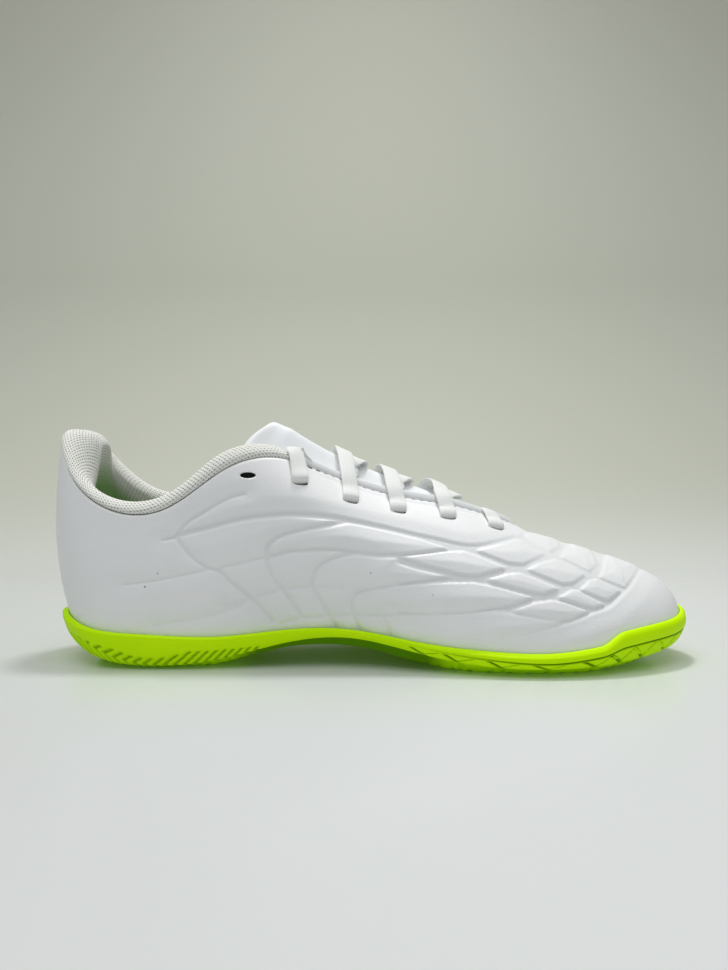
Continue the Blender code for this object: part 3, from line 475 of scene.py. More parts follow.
def makeGrainGroup():
    group, start, end = newGroup("leather grain", {"Scale": 1300.0}, ("Height", "Tone"))
    plus, _, times, _ = sums(group)
    stretch = addNode(group, "ShaderNodeMapping")
    stretch.inputs["Scale"].default_value = (0.7, 1.0, 1.15)  # grain lies along the shoe
    group.links.new(start["Vector"], stretch.inputs["Vector"])
    heights = []
    for factor, share in ((1.0, 0.6), (2.3, 0.3)):
        cell = addNode(group, "ShaderNodeTexVoronoi", feature="F1")
        group.links.new(stretch.outputs["Vector"], cell.inputs["Vector"])
        group.links.new(times(start["Scale"], factor), cell.inputs["Scale"])
        heights.append(times(cell.outputs["Distance"], share))
    cloud = noise(group, stretch.outputs["Vector"], times(start["Scale"], 0.05), 3.0)
    patchy = times(plus(*heights), spread(group, cloud, 0.3, 0.7, 0.5, 1.0))
    group.links.new(patchy, end["Height"])
    group.links.new(cloud, end["Tone"])
    return group


def makeKnitGroup():
    group, start, end = newGroup(
        "knit holes", {"Pitch": 1.6, "Row": 1.35, "Size": 0.33}, ("Hole", "Height")
    )
    plus, minus, times, over = sums(group)
    x, y, _ = splitVector(group, start["Vector"])
    rows = over(y, start["Row"])
    odd = times(maths(group, "MODULO", maths(group, "FLOOR", rows), 2.0), 0.5)
    columns = plus(over(x, start["Pitch"]), odd)
    above = times(minus(maths(group, "FRACT", rows), 0.5), start["Row"])
    aside = times(minus(maths(group, "FRACT", columns), 0.5), start["Pitch"])
    aside = plus(aside, times(above, 0.55))  # the holes lean
    gap = maths(group, "SQRT", plus(times(aside, aside), times(above, above)))
    share = over(gap, start["Size"])
    group.links.new(spread(group, share, 0.75, 1.35, 1.0, 0.0), end["Hole"])
    group.links.new(spread(group, share, 0.8, 2.4), end["Height"])
    return group


def makeBraidGroup():
    group, start, end = newGroup("flat braid", {"Column": 1.15, "Stitch": 1.0}, ("Height", "Tone"))
    plus, minus, times, over = sums(group)
    x, y, _ = splitVector(group, start["Vector"])
    column = over(x, start["Column"])
    bent = maths(group, "ABSOLUTE", minus(maths(group, "FRACT", column), 0.5))
    stitch = plus(over(y, start["Stitch"]), bent)
    wave = maths(group, "SINE", times(stitch, 2 * math.pi))
    rib = maths(group, "COSINE", times(column, 2 * math.pi))
    height = plus(times(wave, 0.5), times(rib, -0.35))
    group.links.new(height, end["Height"])
    group.links.new(spread(group, height, -0.8, 0.4), end["Tone"])
    return group


grainGroup = makeGrainGroup()
knitGroup = makeKnitGroup()
braidGroup = makeBraidGroup()


def newMaterial(name, colour, roughness, specular=0.5):
    material = bpy.data.materials.new(name)
    material.use_nodes = True
    shader = material.node_tree.nodes["Principled BSDF"]
    shader.inputs["Base Color"].default_value = (*colour, 1)
    shader.inputs["Roughness"].default_value = roughness
    shader.inputs["Specular IOR Level"].default_value = specular
    return material, material.node_tree, shader


def placeGroup(tree, group, source, **values):
    node = addNode(tree, "ShaderNodeGroup", node_tree=group)
    tree.links.new(source, node.inputs["Vector"])
    for key, value in values.items():
        node.inputs[key].default_value = value
    return node.outputs


def objectCoordinates(tree):
    return addNode(tree, "ShaderNodeTexCoord").outputs["Object"]


def uvInMillimetres(tree):
    scale = addNode(tree, "ShaderNodeVectorMath", operation="SCALE")
    scale.inputs["Scale"].default_value = 1000.0
    tree.links.new(addNode(tree, "ShaderNodeUVMap", uv_map="UVMap").outputs["UV"], scale.inputs[0])
    return scale.outputs[0]


def pointMask(tree, name):
    return addNode(tree, "ShaderNodeAttribute", attribute_name=name).outputs["Fac"]


def addBump(tree, height, strength, distance, shader):
    bump = addNode(tree, "ShaderNodeBump")
    bump.inputs["Strength"].default_value = strength
    bump.inputs["Distance"].default_value = distance
    tree.links.new(height, bump.inputs["Height"])
    tree.links.new(bump.outputs["Normal"], shader.inputs["Normal"])


def mixColours(tree, mask, first, second):
    mix = addNode(tree, "ShaderNodeMix", data_type="RGBA")
    tree.links.new(mask, mix.inputs["Factor"])
    for index, colour in ((6, first), (7, second)):
        feed(tree, (*colour, 1) if isinstance(colour, tuple) else colour, mix.inputs[index])
    return mix.outputs[2]


def speckMask(tree, where, specks):
    # small marks on the inner side, in millimetres of the frame: x, height, radius, then strength
    plus, minus, times, _ = sums(tree)
    x, y, z = splitVector(tree, where)
    marks = 0.0
    for along, height, radius, strength in specks:
        aside, above = minus(x, along / 1000), minus(z, height / 1000)
        gap = maths(tree, "SQRT", plus(times(aside, aside), times(above, above)))
        mark = spread(tree, gap, radius / 2000, radius / 1000, strength, 0.0)
        marks = maths(tree, "MAXIMUM", marks, mark)
    innerSide = maths(tree, "LESS_THAN", y, 0.0)
    return times(innerSide, marks)


def leather(name, values):
    colour, roughness = values["colour"], values["roughness"]
    material, tree, shader = newMaterial(name, colour, roughness)
    where = objectCoordinates(tree)
    grain = placeGroup(tree, grainGroup, where, Scale=values["grain"])
    tone = mixColours(tree, spread(tree, grain["Tone"], 0.3, 0.7), colour, values["tint"])
    # painted shade: the crease mask darkens the embossed channels towards the crease colour
    if "paintedCreaseShade" in values:
        creaseShadeMask = spread(tree, pointMask(tree, "crease"), 0.0, 1.0, 0.0, values["paintedCreaseShadeShare"])
        tone = mixColours(tree, creaseShadeMask, tone, values["paintedCreaseShade"])
    if "specks" in values:
        tone = mixColours(tree, speckMask(tree, where, values["specks"]), tone, values["speck"])
    tree.links.new(tone, shader.inputs["Base Color"])
    rough = spread(tree, grain["Height"], 0.1, 0.6, roughness - 0.06, roughness + 0.10)
    tree.links.new(rough, shader.inputs["Roughness"])
    shader.inputs["Coat Weight"].default_value = values["coat"]
    shader.inputs["Coat Roughness"].default_value = 0.35
    addBump(tree, grain["Height"], values["bump"], 0.0002, shader)
    return material


def rubber(name, values):
    colour, roughness = values["colour"], values["roughness"]
    material, tree, shader = newMaterial(name, colour, roughness, 0.07)
    where = objectCoordinates(tree)
    fine, broad = noise(tree, where, 900.0, 4.0), noise(tree, where, 38.0)
    tone = mixColours(tree, spread(tree, broad, 0.35, 0.65), colour, values["tint"])
    # painted shade: the groove mask darkens the rubber in its cuts, in the line under the rim band,
    # at the top of the cup's inside and under the shaded waist
    tone = mixColours(tree, pointMask(tree, "groove"), tone, values["paintedShade"])
    tree.links.new(tone, shader.inputs["Base Color"])
    rough = spread(tree, fine, 0.3, 0.7, roughness - 0.05, roughness + 0.08)
    tree.links.new(rough, shader.inputs["Roughness"])
    # painted light: the rubber emits light for its fluorescent pigment, which brightens it and
    # tints the floor near it green
    shader.inputs["Emission Color"].default_value = (*values["paintedGlow"], 1)
    shader.inputs["Emission Strength"].default_value = values["paintedGlowStrength"]
    addBump(tree, fine, 0.12, 0.0002, shader)
    return material


def knit(name, values):
    material, tree, shader = newMaterial(name, values["colour"], 0.88, 0.25)
    holes = placeGroup(
        tree, knitGroup, uvInMillimetres(tree),
        Pitch=values["pitch"], Row=values["row"], Size=values["hole"],
    )
    cloth = mixColours(tree, pointMask(tree, "inside"), values["colour"], values["inner"])
    cloud, darkness = noise(tree, objectCoordinates(tree), 620.0), values["darkness"]
    uneven = spread(tree, cloud, 0.38, 0.62, darkness * 0.25, darkness)
    dark = mixColours(tree, maths(tree, "MULTIPLY", holes["Hole"], uneven), cloth, values["shade"])
    tree.links.new(dark, shader.inputs["Base Color"])
    shader.inputs["Sheen Weight"].default_value = 0.25
    addBump(tree, holes["Height"], 0.8, 0.0006, shader)
    return material


def braid(name, values):
    material, tree, shader = newMaterial(name, values["colour"], 0.8, 0.3)
    weave = placeGroup(tree, braidGroup, uvInMillimetres(tree))
    tone = mixColours(tree, weave["Tone"], values["shade"], values["colour"])
    tree.links.new(tone, shader.inputs["Base Color"])
    shader.inputs["Sheen Weight"].default_value = 0.3
    addBump(tree, weave["Height"], 0.3, 0.00025, shader)
    return material


print("materials")
finishes = {
    # the white leather's crease colour is painted shade in its embossed channels
    "white": leather("white leather", {
        "colour": (0.925, 0.93, 0.93), "tint": (0.90, 0.91, 0.907), "paintedCreaseShade": (0.60, 0.63, 0.62),
        "roughness": 0.42, "grain": 1050.0, "bump": 0.50, "coat": 0.08, "paintedCreaseShadeShare": 0.14,
        "speck": (0.05, 0.05, 0.045),
        "specks": (
            (-87.1, 39.3, 0.5, 0.5), (-92.3, 33.9, 0.45, 0.9),
            (0.0, 39.9, 0.45, 0.5), (24.8, 31.5, 0.4, 0.4),
        ),
    }),
    "tongue": leather("tongue leather", {
        "colour": (0.95, 0.965, 0.98), "tint": (0.94, 0.955, 0.97),
        "roughness": 0.46, "grain": 1500.0, "bump": 0.25, "coat": 0.05,
    }),
    "facing": leather("facing leather", {
        "colour": (0.88, 0.89, 0.89), "tint": (0.86, 0.87, 0.87),
        "roughness": 0.5, "grain": 1500.0, "bump": 0.3, "coat": 0.0,
    }),
    "lime": rubber("lime rubber", {
        # the darker rubber colour is painted shade for the grooves and the waist's underside
        "colour": (0.62, 0.96, 0.0), "tint": (0.58, 0.93, 0.0), "paintedShade": (0.030, 0.140, 0.0),
        # the rubber's glow is painted light
        "roughness": 0.48, "paintedGlow": (0.45, 1.0, 0.0), "paintedGlowStrength": 0.07,
    }),
    "mesh": knit("collar mesh", {
        "colour": (0.90, 0.90, 0.84), "inner": (0.44, 0.70, 0.27), "shade": (0.06, 0.065, 0.04),
        "pitch": 1.5, "row": 1.3, "hole": 0.21, "darkness": 0.9,
    }),
    "lining": knit("sock lining", {
        "colour": (0.36, 0.56, 0.20), "inner": (0.36, 0.56, 0.20), "shade": (0.10, 0.22, 0.03),
        "pitch": 2.2, "row": 1.9, "hole": 0.40, "darkness": 0.8,
    }),
    "lace": braid("flat lace", {"colour": (0.93, 0.94, 0.915), "shade": (0.83, 0.85, 0.815)}),
    # the stitches are painted dark grey as the shade in their holes; the thread itself is lighter
    "thread": newMaterial("stitch shade", (0.16, 0.17, 0.16), 0.7)[0],
    "dark": newMaterial("eyelet shadow", (0.012, 0.012, 0.008), 0.8)[0],
}


# Embossing, drawn in millimetres on a side view of the shoe: x from the heel, then height.
# The outer side mirrors the inner side, so the lines meet over the vamp.
relief = {
    "depth": 0.00085, "shoulder": 0.00080, "lineShoulder": 0.00110, "fieldShoulder": 0.0026,
    "lineWidth": 0.0005, "faintReach": 0.004, "margin": 0.009, "slantLimit": 0.12,
    "pillow": 0.00070, "pillowReach": 0.0075, "topFade": 0.55,
    "viewDistance": 0.298, "viewMiddle": (0.140, 0.0755),
}

# width and depth as shares of the main channel, then the line
creases = {
    "eyestay fold": (2.0, 1.0, (
        (64, 55), (69, 56.5), (75.5, 58), (88.5, 61.5), (99.5, 63), (109.5, 63.7), (118.5, 63.4),
        (130, 62), (146.5, 58.7), (159, 55.7), (171, 53), (180, 51), (187, 50.8), (194, 52.2),
        (202, 54.4))),
    "first leaf": (1.1, 0.8, (
        (91, 72), (85, 70.4), (79, 67.3), (73, 63.6), (69, 61.2), (66.5, 59), (65, 57), (64, 55))),
    "first spine": (1.0, 0.75, (
        (58, 53.2), (62.7, 53.8), (65.2, 51), (69, 46.5), (75, 42), (81, 39.9), (86, 35.4),
        (90.5, 31.8), (96.3, 27), (103, 19.5))),
    "second leaf": (1.6, 0.9, (
        (135, 61.4), (128, 59.8), (116, 57.5), (105.7, 54.7), (101.6, 51.4), (100.3, 48),
        (100.8, 45.7))),
    "second spine": (0.9, 0.7, (
        (100.8, 45.7), (101.6, 40), (105.7, 33.8), (109.3, 29.3), (115, 21))),
    "third leaf": (1.7, 0.9, (
        (100.8, 46), (109.3, 48.3), (118.7, 49), (128, 49), (136.3, 48), (144.5, 47), (153.5, 47))),
    "third spine": (1.0, 0.7, (
        (136.7, 47.3), (129.4, 46), (124, 44), (120.4, 40.8), (119.2, 36.7), (119.6, 32.6),
        (125, 23.2), (128.6, 17))),
    "fourth leaf": (1.0, 0.6, (
        (154.7, 34.8), (148.6, 33.8), (142, 32.6), (137, 31), (135, 27.7), (135, 23.2),
        (138, 16.2))),
    "waist one": (0.7, 0.5, ((41.5, 34.6), (56.6, 36.7), (74, 40.3), (81, 41.6), (98.7, 45.7))),
    "waist two": (0.7, 0.4, ((81, 25.6), (92, 28), (105.7, 32.4), (118.7, 33.8), (131, 33.2))),
    "waist three": (0.7, 0.3, ((53.3, 18), (73, 21), (90.5, 26))),
    "waist four": (0.8, 0.4, ((105.7, 18.7), (116.3, 21), (134.3, 22), (147.4, 22), (154.7, 22))),
    "waist five": (0.7, 0.4, ((147.4, 22), (149, 18), (150.6, 13.8))),
}

# the sunken field of the forefoot, and the raised cells that stand in it
forefootField = (
    (152.7, 58.3), (159, 57), (171, 53.8), (179, 52), (185, 51.2), (190, 52), (201, 54.7),
    (205.4, 56.7), (212, 61.2), (236.5, 53), (257, 44), (253.6, 39.5), (250.4, 34), (245.5, 28.5),
    (241.4, 24.8), (234.8, 22.6), (229, 20), (220, 17), (204.6, 13), (197.6, 12.5), (204.6, 14),
    (212, 16.8), (219.7, 19.2), (209.5, 20.5), (201.7, 22), (194, 22.8), (183.7, 22), (171, 21.3),
    (152.7, 21),
)
forefootCells = {
    "second leaf": (
        (101.8, 50.6), (106, 54), (116.2, 56.5), (134.3, 59.4), (143.7, 59), (155, 56.5),
        (174.3, 50), (163, 48.3), (154.7, 47.7), (144.5, 48), (128, 49.7), (102, 47.3)),
    "third leaf": (
        (120, 38), (121.2, 40.6), (126, 43.7), (134.3, 45.2), (143.7, 45.2), (153, 43.7),
        (162.5, 41), (175.6, 38.2), (167, 37.3), (155.5, 35.6), (146.5, 34.6), (120.4, 34.6)),
    "fourth leaf": (
        (135, 23.6), (135.5, 28.5), (142, 32.2), (155.5, 34), (168.6, 35.6), (184.6, 36),
        (194, 34.2), (210, 29.8), (200, 26.4), (183.3, 23.6), (167, 22.8), (150.6, 23.2)),
    "upper diamond": (
        (154.7, 46.3), (172.7, 48.6), (181, 49), (186.6, 47), (198.7, 42), (186.6, 38.8),
        (180, 39.2), (167, 42.4)),
    "throat diamond": (
        (186.2, 49), (190, 50.8), (201, 53.4), (204.2, 53.6), (214, 47.5), (205.4, 43.6),
        (199.7, 44)),
    "middle diamond": (
        (190, 37), (198.5, 39.5), (203.8, 40), (209.5, 38), (220.5, 33.4), (214, 31.3),
        (209, 32), (201, 34)),
    "crest one": ((205.4, 55.3), (216.4, 48.3), (220, 50.6), (219.3, 54.7), (212, 60.4)),
    "crest two": (
        (220.5, 46.3), (232.4, 40.5), (235.7, 43.4), (233.2, 49), (225, 53), (222.6, 49.7)),
    "crest three": (
        (236.5, 38), (247.3, 33.8), (251, 39.5), (252.8, 44), (239, 48), (238, 41.6)),
    "side one": (
        (207, 41.2), (211, 43.6), (218.5, 45.7), (226.3, 42.4), (230.8, 39), (225.4, 35.6),
        (221.4, 35.6)),
    "side two": (
        (228.7, 33), (232.4, 36.7), (235.3, 37.7), (245.5, 32.6), (241, 29), (239.3, 29)),
    "side three": (
        (219.7, 29.7), (225.4, 33), (228, 32.8), (239, 27), (234.8, 25.4), (231.2, 26.2)),
    "low diamond": (
        (199.7, 24), (209.5, 27.5), (217.3, 28.7), (223, 27.5), (233, 24), (224.2, 20.3),
        (219.3, 20), (209, 22)),
}


def gapToLine(points, line, closed=False):
    # distance to a line in the drawing, and the direction towards it
    line = np.asarray(line, float)
    if closed:
        line = np.concatenate([line, line[:1]])
    best = np.full(len(points), 1e9)
    toward = np.zeros_like(points)
    for start, end in zip(line, line[1:]):
        run = end - start
        t = np.clip(((points - start) @ run) / max(run @ run, 1e-18), 0, 1)
        away = start + t[:, None] * run - points
        gap = np.linalg.norm(away, axis=1)
        closer = gap < best
        best = np.where(closer, gap, best)
        toward[closer] = away[closer]
    return best, unit(toward)


def insideShape(points, shape):
    x, y = points[:, 0], points[:, 1]
    inside = np.zeros(len(points), bool)
    for (x0, y0), (x1, y1) in zip(shape, np.roll(shape, -1, axis=0)):
        crosses = (y0 > y) != (y1 > y)
        inside ^= crosses & (x < x0 + (y - y0) * (x1 - x0) / (y1 - y0 + 1e-18))
    return inside


def creaseStrength(points, normals):
    # points in the frame: how far each lies in a channel, 0 to 1, and how near it is to one
    r = relief
    reach = r["viewDistance"] / (-eye["y"] - np.abs(points[:, 1]))
    middleX, middleZ = r["viewMiddle"]
    drawn = np.stack(
        [middleX + (points[:, 0] - eye["x"]) * reach, middleZ + (points[:, 2] - eye["z"]) * reach],
        axis=1,
    )

    def near(line):
        low, high = line.min(0) - r["margin"], line.max(0) + r["margin"]
        return np.flatnonzero(((drawn > low) & (drawn < high)).all(1))

    def realGap(line, chosen, closed):
        # a slope seen at a slant is longer than it is drawn
        gap, toward = gapToLine(drawn[chosen], line, closed)
        facing = toward[:, 0] * normals[chosen, 0] + toward[:, 1] * normals[chosen, 2]
        return gap / reach[chosen] / np.sqrt(np.maximum(1 - facing ** 2, r["slantLimit"]))

    def depthInside(shape, chosen):
        # above 0 inside a closed shape, below 0 outside it
        side = np.where(insideShape(drawn[chosen], shape), 1, -1)
        return side * realGap(shape, chosen, True)

    channel = np.zeros(len(points))
    nearest = np.full(len(points), 1.0)
    for width, depth, line in creases.values():
        line = softLine(np.array(line) / 1000)
        chosen = near(line)
        gap = realGap(line, chosen, False) - width * r["lineWidth"]
        strength = depth * (1 - smoothStep(gap / r["lineShoulder"] + 0.3))
        channel[chosen] = np.maximum(channel[chosen], strength)
        nearest[chosen] = np.minimum(nearest[chosen], gap + r["faintReach"] * (1 - depth))
    field = np.array(forefootField) / 1000
    chosen = near(field)
    inField = depthInside(field, chosen)
    inCell = np.full(len(chosen), -1.0)
    for shape in forefootCells.values():
        inCell = np.maximum(inCell, depthInside(np.array(shape) / 1000, chosen))
    outOfCell = 1 - smoothStep(inCell / r["shoulder"] + 0.4)
    sunk = smoothStep(inField / r["fieldShoulder"] + 0.1) * outOfCell
    channel[chosen] = np.maximum(channel[chosen], sunk)
    nearest[chosen] = np.minimum(nearest[chosen], np.maximum(-inField, inCell))
    return channel, nearest


# Upper: one skin with its lining, cut open at the eyelets
upperPiece = {
    "innerStations": 470, "outerStations": 320, "rings": 108, "liningRings": 10,
    "throatBand": 0.0026, "throatRise": 0.00035, "throatStep": 0.0008, "throatStart": 6.5,
    "edgeDrop": 0.0006, "edgeRound": 0.0009,
    "eyeletLength": 0.0066, "eyeletHeight": 0.0027,
}
# section row, depth below the edge, and turn in degrees
eyeletRows = (
    (5.32, 0.0066, 21), (6.16, 0.0118, 0), (6.92, 0.0150, 0), (7.72, 0.0128, 0), (8.58, 0.0114, 0),
    (9.44, 0.0124, 0),
)
liningBackRow = 6.42


def eyeletFrame(side, index):
    # centre, outward normal and lengthwise direction; side is -1 or 1
    row, depth, turn = eyeletRows[index]
    place = np.array([float(placeOf(row if side < 0 else rowCount - row))])
    share = 1 - depth / sectionLength(place)
    centre, normal = outerPoints(place, share)[0], outerNormals(place, share)[0]
    step = period * 1e-3
    along = edgeFrame(place + step)[0][0] - edgeFrame(place - step)[0][0]
    along = unit(along - normal * (along @ normal)) * (1 if side < 0 else -1)
    down = np.cross(normal, along)
    down = down if down[2] < 0 else -down
    return centre, normal, along * math.cos(turn * deg) + down * math.sin(turn * deg)


def ovalTube(centre, normal, along, heights, size):
    upward = np.cross(normal, along)
    angle = np.linspace(0, 2 * math.pi, 28, endpoint=False)[:, None]
    rim = along * np.cos(angle) * size[0] / 2 + upward * np.sin(angle) * size[1] / 2
    return np.stack([centre + normal * h + rim * grow for h, grow in heights])


def makeUpper():
    print("upper")
    p = upperPiece
    rings = p["rings"]
    inner = np.linspace(0, halfway, p["innerStations"], endpoint=False)
    outer = np.linspace(halfway, period, p["outerStations"], endpoint=False)
    place = np.concatenate([inner, outer])
    count = len(place)
    share = np.linspace(0, 1, rings)
    points = outerPoints(place[:, None], share[None, :])
    normals = outerNormals(place[:, None], share[None, :] + np.zeros((count, 1)))
    found = creaseStrength((points + shift).reshape(-1, 3), normals.reshape(-1, 3))
    channel, nearest = (values.reshape(count, rings) for values in found)
    pillow = relief["pillow"] * (smoothStep(nearest / relief["pillowReach"]) - 1)
    down = sectionLength(place)[:, None] * (1 - share[None, :])
    row = rowOf(place)
    throat = smoothStep((np.minimum(row, rowCount - row) - p["throatStart"]) / 0.4)[:, None]
    band = throat * p["throatRise"] * (1 - smoothStep((down - p["throatBand"]) / p["throatStep"]))
    rolled = -p["edgeDrop"] * (1 - smoothStep(down / p["edgeRound"]))  # the folded edge is rounded
    # the relief is flatter over the toes
    fade = 1 - relief["topFade"] * smoothStep((normals[..., 2] - 0.45) / 0.4)
    lift = (pillow - relief["depth"] * channel) * fade + band + rolled
    outside = points + normals * lift[..., None]
    innerShare = np.linspace(1, 0, p["liningRings"])
    inside = wallPoints(place[:, None], innerShare[None, :], shoe["wall"])
    sections = np.concatenate([outside, inside], axis=1)
    columns = sections.shape[1]
    faces = gridFaces(count, columns, True, True)
    slots = np.tile((np.arange(columns) >= rings).astype(int), count)
    uv = np.stack([lineLengths(sections, 0), lineLengths(sections, 1)], axis=-1)
    # the crease mask is the channels' depth, which the white leather uses for painted shade
    masks = {
        "crease": np.pad(channel, ((0, 0), (0, columns - rings))),
        "inside": np.ones((count, columns)),
    }
    return makePiece(
        "upper_skin", sections, faces, [finishes["white"], finishes["lining"]], uv, masks, slots
    )


def ovalTubes(heights, shrink=0.0):
    # one oval tube through every eyelet, and how many points each ring has
    size = (upperPiece["eyeletLength"] - shrink, upperPiece["eyeletHeight"] - shrink)
    points, faces = [], []
    for side in (-1, 1):
        for index in range(len(eyeletRows)):
            rings = ovalTube(*eyeletFrame(side, index), heights, size)
            first, count = len(points), rings.shape[1]
            points += list(rings.reshape(-1, 3))
            faces += [tuple(first + f) for f in gridFaces(len(heights), count, False, True)]
    return points, faces, count


def makePunches():
    points, faces, count = ovalTubes(((-0.0040, 1), (0.0030, 1)))
    for first in range(0, len(points), count):
        faces.append(tuple(first + np.arange(count)))
    return makePiece("punches", points, faces, [finishes["white"]])


def cutEyelets(piece, punches):
    modifier = piece.modifiers.new("eyelets", "BOOLEAN")
    modifier.operation, modifier.solver, modifier.object = "DIFFERENCE", "EXACT", punches
    shape = bpy.context.evaluated_depsgraph_get()
    cutMesh = bpy.data.meshes.new_from_object(piece.evaluated_get(shape))
    piece.modifiers.clear()
    piece.data = cutMesh


upperSkin = makeUpper()
punches = makePunches()
cutEyelets(upperSkin, punches)
print("upper has", len(upperSkin.data.polygons), "faces")


# Sole: rubber cup with a rim band, heel ribs, toe lugs and a grooved tread
solePiece = {
    "stations": 1000, "sideRings": 22, "treadRings": 30,
    "rimLip": 0.0013, "sideWall": 0.0025, "band": 0.0034, "toeBand": 0.0022, "bandStep": 0.0006,
    "ribPitch": 0.0041, "ribDepth": 0.0012, "ribWidth": 0.46, "ribStart": 0.004, "ribEnd": 0.106,
    "ribLeanUp": 1.05, "ribLeanDown": 1.3, "ribShade": 0.55,
    "lugDepth": 0.0013, "lugGroove": 0.0014, "lugSlant": 0.0064, "lugEdge": 0.0004,
    "lugShade": 0.85,
    "slashSlant": 0.0095, "slashWidth": 0.0002, "slashEdge": 0.0005, "slashShare": 0.36,
    "treadPitch": 0.0068, "treadDepth": 0.0010, "treadZigzag": 0.011, "treadShade": 0.8,
    "endInset": 0.020,
}
# shares of the length where a groove parts two toe lugs
lugShares = (0.565, 0.612, 0.672, 0.735, 0.803, 0.843, 0.880, 0.922, 0.965)
# run from the heel's back, then the top of the ribs and the line of their points, as shares
ribZone = (
    (0.000, 0.74, 0.74), (0.024, 0.76, 0.76), (0.032, 0.74, 0.64), (0.038, 0.70, 0.48),
    (0.045, 0.63, 0.30), (0.052, 0.46, 0.17), (0.058, 0.38, 0.11), (0.064, 0.38, 0.08),
    (0.070, 0.50, 0.06), (0.076, 0.66, 0.05), (0.090, 0.62, 0.08), (0.106, 0.40, 0.18),
)


def groove(phase, width):
    # 1 in the middle of a groove, 0 between grooves
    gap = np.abs(np.mod(phase, 1.0) - 0.5) * 2
    return smoothStep((gap - (1 - width)) / (width * 0.55))


def treadRelief(x, y, edgeGap):
    zig = np.abs(np.mod(y / solePiece["treadZigzag"], 1.0) - 0.5) * 2
    cuts = groove(x / solePiece["treadPitch"] + zig * 0.8, 0.30)
    part = x / shoe["length"]
    ends = (1 - smoothStep((part - 0.27) / 0.03)) + smoothStep((part - 0.56) / 0.03)
    return cuts * ends * smoothStep((edgeGap - 0.004) / 0.0015)


def sideCuts(v, mirrored, height, lugRuns):
    # heel ribs and toe lugs at a share of the side's height, as shares of a full cut
    p, zone = solePiece, np.array(ribZone)
    ribTop, ribPoint = (np.interp(mirrored, zone[:, 0], zone[:, k]) for k in (1, 2))
    off = v - ribPoint
    lean = np.where(off > 0, off * p["ribLeanUp"], -off * p["ribLeanDown"]) * height
    ribs = groove((mirrored - lean) / p["ribPitch"], p["ribWidth"])
    ribbed = smoothStep((mirrored - p["ribStart"]) / 0.002)
    ribbed = ribbed * smoothStep((p["ribEnd"] - mirrored) / 0.003)
    ribs = ribs * ribbed * smoothStep((ribTop - v) / 0.08)
    lugs = np.zeros_like(mirrored)
    for lugRun in lugRuns:
        gap = np.abs(mirrored - lugRun + p["lugSlant"] * (v - 0.5)) - p["lugGroove"] / 2
        lugs = np.maximum(lugs, 1 - smoothStep(gap / p["lugEdge"]))
        slash = np.abs(mirrored - lugRun - p["slashSlant"] * (v - 0.1)) - p["slashWidth"]
        lugs = np.maximum(lugs, p["slashShare"] * (1 - smoothStep(slash / p["slashEdge"])))
    return ribs, lugs * smoothStep((1.0 - v) / 0.04)


def undersideLine(corner, side):
    # the line half way between the sole's two sides, on which the underside closes
    apart = np.abs(corner[None, :, 0] - corner[:, None, 0]) + 10 * (side[None, :] == side[:, None])
    middle = (corner + corner[np.argmin(apart, axis=1)]) / 2
    inset = solePiece["endInset"]
    middle[:, 0] = np.clip(corner[:, 0], corner[:, 0].min() + inset, corner[:, 0].max() - inset)
    order = np.argsort(middle[:, 0])
    middle[:, 1] = np.interp(middle[:, 0], middle[order, 0], middle[order, 1])
    return middle


